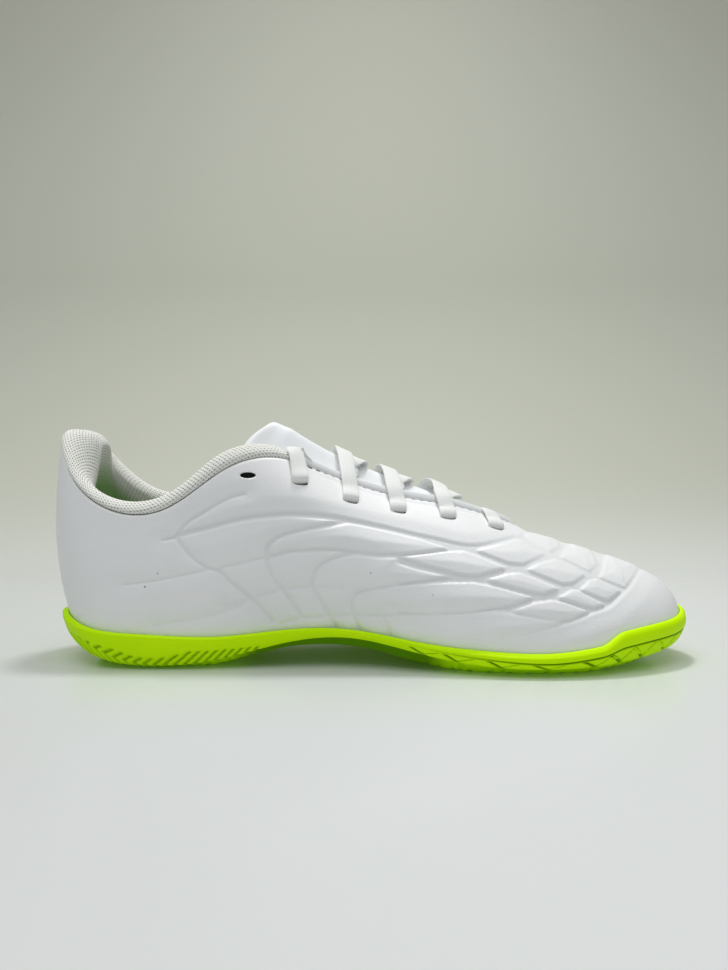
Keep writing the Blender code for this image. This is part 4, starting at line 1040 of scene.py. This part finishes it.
def makeSole():
    print("sole")
    p = solePiece
    place = np.linspace(0, period, p["stations"], endpoint=False)
    values, _, outward = frameAt(place)
    share = footShare(place)
    rim = outerPoints(place, share)
    flatRim, rimZ = rim * (1 - up), rim[:, 2]
    ground, tuck = values[:, 4], values[:, 5]
    height = rimZ - ground
    clear = shoe["clearance"]
    proud = clear + p["sideWall"]
    band = np.minimum(p["band"] + p["toeBand"] * toeStep(values[:, 0]), height * 0.55)
    # the line under the rim is cut deep round the forefoot and the toe only
    lineShare = smoothStep((values[:, 0] / shoe["length"] - 0.50) / 0.28)
    band = band * (0.30 + 0.70 * lineShare)
    step = p["bandStep"] * smoothStep(height / p["band"] - 1.2) * (0.1 + 0.9 * lineShare)
    run = np.concatenate([[0], np.cumsum(np.linalg.norm(np.diff(flatRim, axis=0), axis=1))])
    girth = run[-1] + np.linalg.norm(flatRim[0] - flatRim[-1])
    mirrored = np.minimum(run, girth - run)
    none = np.zeros_like(run)
    foot = outerPoints(place, none) * (1 - up)
    # from the cup's floor up inside it: each ring is its points and its share of the groove mask,
    # the painted shade
    rings = [
        (foot + outward * clear + up * values[:, 2, None], none),
        (wallPoints(place, share * 0.5, -clear), none),
        (wallPoints(place, share, -clear), none + 0.6),
    ]

    def add(out, z, mask=0.0):
        point = flatRim + outward * np.broadcast_to(out, run.shape)[:, None] + up * z[:, None]
        rings.append((point, np.broadcast_to(mask, run.shape)))

    lip = p["rimLip"]
    for out, drop in (
        (clear + 0.0002, -0.00012), (clear + lip * 0.5, -0.00020), (clear + lip, 0.0),
        (proud - 0.0008, 0.00045), (proud - 0.0003, 0.0010),
    ):
        add(out, rimZ - drop)
    for part, bulge in (
        (0.40, 0.0), (0.62, 0.00008), (0.84, 0.0), (0.94, -0.00018), (1.0, -0.0005),
    ):
        add(proud + bulge * lineShare, rimZ - band * part)
    for drop in (0.0002, 0.0006):
        add(proud - step - 0.0005 * lineShare, rimZ - band - drop, 0.9 * lineShare)
    topZ = rimZ - band - 0.0009
    front = place < halfway
    lugRuns = np.interp(np.array(lugShares) * shoe["length"], rim[front, 0], run[front])
    for v in np.linspace(1, 0, p["sideRings"]):
        ribs, lugs = sideCuts(v, mirrored, height, lugRuns)
        sink = levelCurve((0, 0.12, 0.5, 1), (1.5, 0.7, 0.25, 0), np.array([v]))[0]
        cuts = ribs * p["ribDepth"] + lugs * p["lugDepth"]
        shade = np.maximum(ribs * p["ribShade"], lugs * p["lugShade"])
        add(proud - step - sink * tuck - cuts, ground + (topZ - ground) * v, shade)
    corner = rings[-1][0]
    middle = undersideLine(corner, np.sign(run - girth / 2))
    part = corner[:, 0] / shoe["length"]
    waist = smoothStep((part - 0.28) / 0.05) * smoothStep((0.62 - part) / 0.05)  # it lies in shade
    for t in np.linspace(0, 1, p["treadRings"] + 1)[1:]:
        flat = corner * (1 - t) + middle * t
        edgeGap = np.linalg.norm((flat - corner)[:, :2], axis=1)
        flatZ = treadHeight(flat[:, 0])
        cuts = treadRelief(flat[:, 0], flat[:, 1], edgeGap)
        blend = smoothStep(edgeGap / 0.006)
        flat[:, 2] = corner[:, 2] * (1 - blend) + flatZ * blend + cuts * p["treadDepth"]
        rings.append((flat, np.maximum(cuts * p["treadShade"], waist)))
    sections = np.stack([points for points, _ in rings], axis=1)
    masks = {"groove": np.stack([mask for _, mask in rings], axis=1)}
    faces = gridFaces(len(place), sections.shape[1], True, False)
    return makePiece("sole_rubber", sections, faces, [finishes["lime"]], None, masks)


soleRubber = makeSole()


# Insole: a moulded sock liner, a little hollow along the middle
insolePiece = {
    "thickness": 0.0035, "edgeGap": 0.0005, "stations": 300, "rings": 16, "cup": 0.0012,
    "endInset": 0.022,
}


def makeInsole():
    print("insole")
    p = insolePiece
    place = np.linspace(0, period, p["stations"], endpoint=False)
    values, _, outward = frameAt(place)
    inside = wallPoints(place[:, None], np.array([0.0, 0.04, 0.08, 0.12]), shoe["wall"])
    reach = np.sum((inside - inside[:, :1]) * outward[:, None], axis=2).min(1)
    edge = inside[:, 0] + outward * (reach[:, None] - p["edgeGap"])
    edge = edge * (1 - up) + up * (values[:, 2, None] + shoe["clearance"])
    middle = edge.copy()
    ends = edge[:, 0].min() + p["endInset"], edge[:, 0].max() - p["endInset"]
    middle[:, 0] = np.clip(edge[:, 0], *ends)
    first = np.arange(p["stations"]) < p["stations"] // 2
    sides = [edge[side][np.argsort(edge[side, 0])] for side in (first, ~first)]
    for column in (1, 2):
        across = [np.interp(middle[:, 0], side[:, 0], side[:, column]) for side in sides]
        middle[:, column] = (across[0] + across[1]) / 2
    rings = [edge, edge + up * p["thickness"] * 0.8]
    for t in np.linspace(0, 1, p["rings"]):
        point = edge * (1 - t) + middle * t
        hollow = p["cup"] * smoothStep(t / 0.8)
        bevel = 0.2 * (1 - smoothStep(t / 0.08))
        rings.append(point + up * (p["thickness"] * (1 - bevel) - hollow))
    sections = np.stack(rings, axis=1)
    masks = {"inside": np.ones(sections.shape[:2])}
    faces = gridFaces(len(place), sections.shape[1], True, False)
    return makePiece("sock_liner", sections, faces, [finishes["lining"]], sections[..., :2], masks)


# Collar: padded knitted roll from one side of the throat to the other
collarPiece = {
    "roll": 0.0064, "pad": 0.0075, "heelPad": 0.0068, "depth": 0.034, "stations": 420, "steps": 5,
    "frontLift": 0.0012, "endRings": 4, "limeStart": 0.003, "limeRun": 0.017,
}
# section row, then shares of the roll, the pad and the depth
collarRows = (
    (0.0, 1.00, 1.00, 1.00), (1.0, 1.00, 1.00, 0.97), (2.0, 1.00, 0.95, 0.80),
    (3.0, 1.00, 0.82, 0.58), (4.0, 1.00, 0.66, 0.46), (5.0, 1.08, 0.50, 0.26),
    (6.0, 1.06, 0.42, 0.15), (6.36, 0.80, 0.32, 0.12),
)


def makeCollar():
    print("collar")
    p = collarPiece
    front = placeOf(collarRows[-1][0])
    place = np.linspace(-front, front, p["stations"])
    row = rowOf(place)
    roll = profileOf(collarRows, row, 1) * p["roll"]
    near = np.minimum(row, rowCount - row)
    roll = roll + p["frontLift"] * smoothStep((near - 4.2) / 0.8) * smoothStep((6.4 - near) / 0.4)
    pad = profileOf(collarRows, row, 2) * p["pad"] + p["heelPad"] * smoothStep((3.2 - near) / 2.4)
    down = profileOf(collarRows, row, 3) * p["depth"] / sectionLength(place)
    point, upward, normal = edgeFrame(place)
    wall, clear = shoe["wall"], shoe["clearance"]

    def above(height, depth):
        height, depth = (np.broadcast_to(v, place.shape)[:, None] for v in (height, depth))
        return point + upward * height - normal * depth

    ring = np.stack(
        [
            wallPoints(place, 1 - down * 0.5, wall + clear * 1.2),
            above(-0.0003, wall + clear * 1.2),
            above(clear * 1.6, wall * 0.9),
            above(clear * 2.0, 0.0004),
            above(roll * 0.30, -0.0004),
            above(roll * 0.64, 0.0003),
            above(roll * 0.91, wall * 0.8 + pad * 0.06),
            above(roll, wall + pad * 0.36),
            above(roll * 0.83, wall + pad * 0.74),
            above(roll * 0.36, wall + clear + pad * 0.98),
            above(-roll * 0.2, wall + clear + pad * 1.03),
            wallPoints(place, 1 - down * 0.35, wall + clear + pad * 0.97),
            wallPoints(place, 1 - down * 0.70, wall + clear + pad * 0.66),
            wallPoints(place, 1 - down, wall + clear + pad * 0.30),
            wallPoints(place, 1 - down, wall + clear * 1.2),
        ],
        axis=1,
    )
    sections = np.stack([softLine(r, p["steps"], closed=True) for r in ring])
    sections = np.concatenate([sections, sections[:, :1]], axis=1)
    count, size = sections.shape[:2]
    middle = sections[:, :-1].mean(1, keepdims=True)
    for k in range(p["endRings"]):  # the ends are rounded off
        shrink = math.sqrt(1 - (1 - k / p["endRings"]) ** 2) * 0.9 + 0.1
        for i in (k, count - 1 - k):
            sections[i] = middle[i] + (sections[i] - middle[i]) * shrink
    along = lineLengths(point, 0)[:, None] + np.zeros((count, size))
    uv = np.stack([along, lineLengths(sections, 1) + 0.1], axis=-1)
    height = np.einsum("ijk,ik->ij", sections - point[:, None], upward)
    masks = {"inside": smoothStep((-height - p["limeStart"]) / p["limeRun"])}  # greener below
    faces = gridFaces(count, size)
    return makePiece("collar_padding", sections, faces, [finishes["mesh"]], uv, masks)


# Throat facing: the folded strip that shows past the upper's edge
facingPiece = {
    "thickness": 0.0012, "show": 0.0042, "footShare": 0.17, "stations": 260, "bead": -0.0005,
    "upright": 0.9,
}


def makeFacing():
    print("throat facing")
    p = facingPiece
    place = np.linspace(placeOf(liningBackRow), placeOf(rowCount - liningBackRow), p["stations"])
    point, upward, normal = edgeFrame(place)
    top = shoe["wall"] + shoe["clearance"]
    low = top + p["thickness"]
    one = np.ones_like(place)

    standing = unit(upward + up * p["upright"])  # the strip stands up a little from the wall's line

    def past(height, depth):
        return point + standing * height - normal * depth

    shares = (1 - p["footShare"], 1 - p["footShare"] / 2, 0.99)
    outer = [wallPoints(place, one * s, top) for s in shares]
    inner = [wallPoints(place, one * s, low) for s in shares[::-1]]
    show, bead = p["show"], p["bead"]
    line = outer + [
        past(0.0003, top * 0.6), past(0.0006, bead * 0.4), past(show * 0.5, bead),
        past(show * 0.9, bead * 0.4), past(show, low * 0.4), past(show * 0.8, low),
        past(0.0002, low),
    ] + inner
    ring = np.stack(line, axis=1)
    sections = np.stack([softLine(r, 4, closed=True) for r in ring])
    faces = gridFaces(sections.shape[0], sections.shape[1], False, True)
    return makePiece("throat_strip", sections, faces, [finishes["facing"]])


# Tongue: one padded sheet, which rises over the laces' height at its middle
tonguePiece = {
    "thickness": 0.0038, "rows": 150, "across": 44, "tipSweep": 0.036, "lip": 0.0022,
}
# section row that it passes, pull of its crown, depth under the upper, rise of its middle in mm
tongueRows = (
    (12.60, 0.020, 0.100, 0.0), (11.60, 0.055, 0.110, 0.2), (10.60, 0.105, 0.120, 0.8),
    (9.60, 0.175, 0.130, 2.3), (8.60, 0.225, 0.130, 4.0), (7.80, 0.265, 0.130, 6.0),
    (7.10, 0.295, 0.130, 7.0), (6.60, 0.330, 0.120, 5.6), (6.35, 0.358, 0.110, 3.7),
    (6.16, 0.375, 0.100, 1.6),
)


def tongueLines(rows, across):
    rows = np.asarray(rows, float)
    crown = profileOf(tongueRows, rows, 1) * shoe["ballWidth"]
    flap = profileOf(tongueRows, rows, 2)
    pad = profileOf(collarRows, rows, 2) * collarPiece["pad"]
    share = smoothStep((collarRows[-1][0] + 0.5 - rows) / 0.5)
    clear = shoe["clearance"] * 3
    inset = shoe["wall"] + clear + np.maximum(pad * share, facingPiece["thickness"])
    sides = []
    for place in (placeOf(rows), placeOf(rowCount - rows)):
        point, upward, normal = edgeFrame(place)
        start = point - normal * inset[:, None]
        low = wallPoints(place, 1 - flap, inset)
        half = wallPoints(place, 1 - flap / 2, inset)
        sides.append((start, start + upward * crown[:, None], half, low))
    (a, aPull, aHalf, aLow), (b, bPull, bHalf, bLow) = sides
    w = np.asarray(across, float)[None, :, None]
    arch = (
        (1 - w) ** 3 * a[:, None] + 3 * (1 - w) ** 2 * w * aPull[:, None]
        + 3 * (1 - w) * w * w * bPull[:, None] + w ** 3 * b[:, None]
    )
    lift = profileOf(tongueRows, rows, 3)[:, None, None] * 0.001 * np.sin(np.pi * w) ** 1.2
    arch = arch + up * lift
    # the tip's corners lie further back than its middle
    sweep = tonguePiece["tipSweep"] * smoothStep((7.4 - rows) / 1.35)
    bow = 0.6 * np.tanh((2 * w[0, :, 0] - 1) ** 2 / 0.6)
    arch[..., 0] -= sweep[:, None] * bow[None, :]
    for line in (aHalf, aLow, bHalf, bLow):
        line[:, 0] -= sweep * bow[0]
    return np.concatenate(
        [aLow[:, None], aHalf[:, None], arch, bHalf[:, None], bLow[:, None]], axis=1
    )


def gridNormals(grid):
    return unit(np.cross(np.gradient(grid, axis=0), np.gradient(grid, axis=1)))


def makeTongue():
    print("tongue")
    p = tonguePiece
    rows = np.linspace(tongueRows[0][0], tongueRows[-1][0], p["rows"])
    top = tongueLines(rows, np.linspace(0, 1, p["across"]))
    normal = gridNormals(top)
    if normal[:, normal.shape[1] // 2, 2].mean() < 0:
        normal = -normal
    tipGap = lineLengths(top, 0)[-1:] - lineLengths(top, 0)
    side = np.minimum(lineLengths(top, 1), lineLengths(top[:, ::-1], 1)[:, ::-1])
    rounded = np.sqrt(1 - (1 - np.clip(np.minimum(tipGap, side) / p["lip"], 0, 1)) ** 2)
    half = p["thickness"] / 2
    middle = top - normal * half
    upper = middle + normal * (half * rounded)[..., None]
    under = middle - normal * (half * rounded)[..., None]
    sections = np.concatenate([upper, under[:, ::-1]], axis=1)
    faces = gridFaces(sections.shape[0], sections.shape[1], False, True)
    return makePiece("tongue_pad", sections, faces, [finishes["tongue"]])


def tonguePoint(x, across):
    # a point on the tongue's top, on the line whose middle is at x, and its normal
    trial = np.linspace(tongueRows[-1][0] + 0.06, tongueRows[0][0] - 0.06, 60)
    middles = tongueLines(trial, np.array([0.5]))[:, 2, 0]
    row = float(np.interp(x, middles, trial))
    places = np.clip(np.array([across - 0.02, across, across + 0.02]), 0, 1)
    grid = tongueLines(np.array([row - 0.05, row, row + 0.05]), places)[:, 2:-2]
    normal = gridNormals(grid)[1, 1]
    return grid[1, 1], normal if normal[2] > 0 else -normal


# Laces: a flat braid through the eyelets, inner strands on top where they cross
lacePiece = {
    "width": 0.0071, "thickness": 0.0014, "air": 0.0006, "over": 0.0014, "steps": 9,
    "loose": (0.0, 0.0, 0.0008, 0.0008, 0.0024, 0.0),
}
# how far across the tongue a strand is, and how far back from its edge point, on each side
strandPaths = {
    -1: ((0.42, 0.0032), (0.57, 0.0058), (0.73, 0.0094), (0.88, 0.0132)),
    1: ((0.40, -0.0050), (0.55, -0.0036), (0.72, 0.0008), (0.88, 0.0056)),
}


def laceRibbon(name, path):
    # the path is a list of places, each with the way that the lace's face looks there
    line = softLine([np.concatenate(pair) for pair in path], lacePiece["steps"])
    points, normals = line[:, :3], line[:, 3:]
    along = unit(np.gradient(points, axis=0))
    normals = unit(normals - along * np.sum(normals * along, axis=1, keepdims=True))
    across = np.cross(normals, along)
    width, thickness = lacePiece["width"], lacePiece["thickness"]
    angle = np.linspace(0, 2 * math.pi, 33)
    wide = np.sign(np.cos(angle)) * np.abs(np.cos(angle)) ** 0.55 / 2
    thick = np.sign(np.sin(angle)) * np.abs(np.sin(angle)) ** 0.75 / 2
    crown = 1 + 0.12 * np.cos(2 * math.pi * wide)  # a tubular braid is fuller in the middle
    sections = (
        points[:, None] + across[:, None] * (wide * width)[None, :, None]
        + normals[:, None] * (thick * crown * thickness)[None, :, None]
    )
    run = lineLengths(points, 0)[:, None] + np.zeros((len(points), len(angle)))
    uv = np.stack([np.broadcast_to(wide * width, run.shape), run], axis=-1)
    faces = gridFaces(len(points), len(angle))
    return makePiece(name, sections, faces, [finishes["lace"]], uv)


def laceStart(side, index, lean):
    # up through the eyelet from inside, on to the wall and over the throat's edge
    lift = lacePiece["air"] + lacePiece["thickness"] / 2
    centre, normal, _ = eyeletFrame(side, index)
    rows = np.linspace(5.4, 13.2, 300)
    trial = placeOf(rows if side < 0 else rowCount - rows)
    place = np.array([np.interp(centre[0] - lean, edgeFrame(trial)[0][:, 0], trial)])
    point, upward, edgeNormal = (v[0] for v in edgeFrame(place))
    rise = point - centre
    rise = unit(rise - normal * (rise @ normal))
    both = normal + edgeNormal
    path = [
        (centre - normal * 0.0040 + rise * 0.0003, -rise),
        (centre - normal * 0.0012 + rise * 0.0005, -rise),
        (centre + normal * 0.0006 + rise * 0.0009, unit(normal - rise)),
        (centre + normal * lift + rise * 0.0027, normal),
        (centre * 0.40 + point * 0.60 + both * lift * 0.55, unit(both)),
    ]
    return path, point, upward, edgeNormal


def overTongue(x, across, height):
    spot, normal = tonguePoint(x, across)
    return spot + normal * height, normal


def makeStrand(name, side, index):
    p = lacePiece
    lift = p["air"] + p["thickness"] / 2
    path, point, upward, edgeNormal = laceStart(side, index, 0.0010)
    strip = unit(upward + up * facingPiece["upright"]) * facingPiece["show"] * 0.6
    path.append((point + strip + edgeNormal * (lift + 0.0010), edgeNormal))
    for across, back in strandPaths[side]:
        extra = p["over"] * smoothStep((0.84 - across) / 0.12) if side < 0 else 0.0
        extra = extra + p["loose"][index] * math.sin(math.pi * across)
        fromInner = across if side < 0 else 1 - across
        path.append(overTongue(point[0] - back, fromInner, lift + extra))
    farCentre, farNormal, _ = eyeletFrame(-side, index - 1)
    path.append((farCentre - farNormal * 0.0042, farNormal))
    return laceRibbon(name, path)


def makeBar():
    height = lacePiece["air"] + lacePiece["thickness"] / 2 + 0.0008
    halves = []
    for side, across in ((-1, 0.28), (1, 0.72)):
        path, point, upward, edgeNormal = laceStart(side, len(eyeletRows) - 1, 0.0012)
        path.append((point + upward * 0.0012 + edgeNormal * height, edgeNormal))
        path.append(overTongue(point[0] - 0.0010, across, height))
        halves.append(path)
    middle = overTongue(point[0] - 0.0014, 0.50, height)
    return laceRibbon("lace_front", halves[0] + [middle] + halves[1][::-1])


def makeTopStrand(name, side):
    # the last strand folds over the throat's edge and is tucked in behind it
    path, point, upward, edgeNormal = laceStart(side, 1, 0.0020)
    ahead = np.array([1.0, 0.0, -0.25])
    # millimetres up, out and ahead, then the way that the face looks
    for rise, out, forward, face in (
        (2.4, 1.9, 0.0, edgeNormal),
        (6.8, 1.0, 1.0, unit(edgeNormal - ahead * 0.2 + upward * 0.3)),
        (7.6, -1.2, 3.4, unit(upward + ahead * 0.2)),
        (5.2, -2.8, 5.6, unit(ahead - edgeNormal * 0.5)),
        (1.2, -3.8, 6.4, unit(ahead * 0.6 - edgeNormal)),
        (-5.0, -4.4, 6.6, -edgeNormal),
    ):
        move = upward * rise + edgeNormal * out + ahead * forward
        path.append((point + move * 0.001, face))
    return laceRibbon(name, path)


# Stitches along the throat, and the dark inside of the eyelets
stitching = {"inset": 0.0009, "pitch": 0.0036, "length": 0.0021, "radius": 0.00026}


def makeStitches():
    print("stitches")
    p = stitching
    first = liningBackRow + 0.05
    place = np.linspace(placeOf(first), placeOf(rowCount - first), 1200)
    line = wallPoints(place, 1 - p["inset"] / sectionLength(place), -upperPiece["throatRise"] * 0.6)
    normal = outerNormals(place, np.ones_like(place) * 0.99)
    run = lineLengths(line, 0)

    def alongRun(at, rows):
        return np.array([np.interp(at, run, rows[:, c]) for c in range(3)])

    points, faces = [], []
    angle = np.linspace(0, 2 * math.pi, 8, endpoint=False)
    for start in np.arange(0, run[-1], p["pitch"]):
        for k, (t, r) in enumerate(((0, 0.3), (0.15, 1), (0.85, 1), (1, 0.3))):
            at = start + p["length"] * t
            here, out = alongRun(at, line), unit(alongRun(at, normal))
            ahead = unit(alongRun(at + 1e-4, line) - here + 1e-12)
            side = np.cross(out, ahead)
            here = here - out * p["radius"] * (0.2 + 0.8 * (r < 0.5))
            first = len(points)
            for a in angle:
                points.append(here + (side * math.cos(a) + out * math.sin(a)) * p["radius"] * r)
            if k:
                faces += [tuple(first - 8 + f) for f in gridFaces(2, 8, False, True)]
    return makePiece("throat_stitches", points, faces, [finishes["thread"]])


def makeEyeletCups():
    print("eyelets")
    heights = ((-0.00035, 1), (-0.0019, 1), (-0.0019, 0.02))
    points, faces, _ = ovalTubes(heights, shrink=0.00005)
    return makePiece("eyelet_cups", points, faces, [finishes["dark"]])


def finishPiece(piece, slotName, *nodes):
    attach(piece, "root")
    if nodes:
        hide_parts(*nodes)
    return piece


bpy.data.objects.remove(punches)
finishPiece(upperSkin, "white_synthetic", "upper")
finishPiece(soleRubber, "lime_rubber", "outsole")
finishPiece(makeInsole(), "lime_sock", "insole")
collar = finishPiece(makeCollar(), "white_mesh", "collar")
finishPiece(makeFacing(), "tongue_synthetic", "throat_lining")
tongue = finishPiece(makeTongue(), "tongue_synthetic", "tongue")
print("laces")
finishPiece(makeBar(), "white_lace", "lace_bar")
for number, index in enumerate((4, 3, 2), start=1):
    finishPiece(makeStrand(f"lace_{number}_inner", -1, index), "white_lace", f"lace_cross_{number}")
    finishPiece(makeStrand(f"lace_{number}_outer", 1, index), "white_lace", f"lace_cross_{number}")
finishPiece(makeTopStrand("lace_last_inner", -1), "white_lace", "lace_top_inner")
finishPiece(makeTopStrand("lace_last_outer", 1), "white_lace", "lace_top_outer")
finishPiece(makeStitches(), "tongue_synthetic")
finishPiece(makeEyeletCups(), "white_synthetic")


# Floor that sweeps up into the wall, and soft studio light
studio = {
    "flat": 0.30, "bend": 0.35, "wall": 2.4, "width": 3.0, "front": -1.6,
    # the paper is one pale colour: its darker wall, darker wall top and darker left floor are
    # painted shade
    "floorLeftShade": (0.62, 0.635, 0.63), "floor": (0.72, 0.735, 0.735),
    "wallShade": (0.525, 0.54, 0.46), "wallTopShade": (0.405, 0.41, 0.35),
    "sky": (0.93, 0.97, 1.0), "skyStrength": 0.27,
    # power, size, place and what it points at
    "lights": {
        "top light": (4.3, 0.14, (0.02, 0.16, 1.0), (0.0, 0.0, 0.0)),
        "ceiling light": (30.0, 2.4, (-0.30, -0.50, 2.2), (-0.1, 0.0, 0.0)),
    },
}


def makeStudio():
    print("floor and light")
    s = studio
    line = [(s["front"], 0.0), (s["flat"], 0.0)]
    for t in np.linspace(0, math.pi / 2, 24)[1:]:
        line.append((s["flat"] + s["bend"] * math.sin(t), s["bend"] * (1 - math.cos(t))))
    line.append((s["flat"] + s["bend"], s["wall"]))
    points = [(x, y, z) for x in (-s["width"], s["width"]) for y, z in line]
    material, tree, shader = newMaterial("paper", s["floor"], 0.25, 0.4)
    x, y, z = splitVector(tree, addNode(tree, "ShaderNodeNewGeometry").outputs["Position"])
    run = maths(tree, "ADD", y, z)  # along the sheet, near enough
    # painted shade: the paper darkens up the wall and towards its top, and on the floor's left
    wall = mixColours(tree, spread(tree, run, 0.95, 1.45), s["wallShade"], s["wallTopShade"])
    ground = mixColours(tree, spread(tree, x, -0.25, 0.20), s["floorLeftShade"], s["floor"])
    paper = mixColours(tree, spread(tree, run, 0.10, 0.66), ground, wall)
    tree.links.new(paper, shader.inputs["Base Color"])
    tree.links.new(spread(tree, run, 0.20, 0.45, 0.25, 0.85), shader.inputs["Roughness"])
    mesh = bpy.data.meshes.new("studio_floor")
    mesh.from_pydata(points, [], [tuple(int(v) for v in f) for f in gridFaces(2, len(line))])
    mesh.materials.append(material)
    mesh.shade_smooth()
    floor = bpy.data.objects.new("studio_floor", mesh)
    scene.collection.objects.link(floor)
    world = bpy.data.worlds.new("studio")
    world.use_nodes = True
    sky = world.node_tree.nodes["Background"]
    sky.inputs["Color"].default_value = (*s["sky"], 1)
    sky.inputs["Strength"].default_value = s["skyStrength"]
    scene.world = world
    for name, (power, size, where, aim) in s["lights"].items():
        light = bpy.data.lights.new(name, "AREA")
        light.energy, light.size = power, size
        lamp = bpy.data.objects.new(name, light)
        lamp.location = where
        back = np.array(where) - np.array(aim)
        flat = math.hypot(back[0], back[1])
        lamp.rotation_euler = (math.atan2(flat, back[2]), 0, math.atan2(back[0], -back[1]))
        scene.collection.objects.link(lamp)
    scene.view_settings.view_transform = "Standard"


makeStudio()
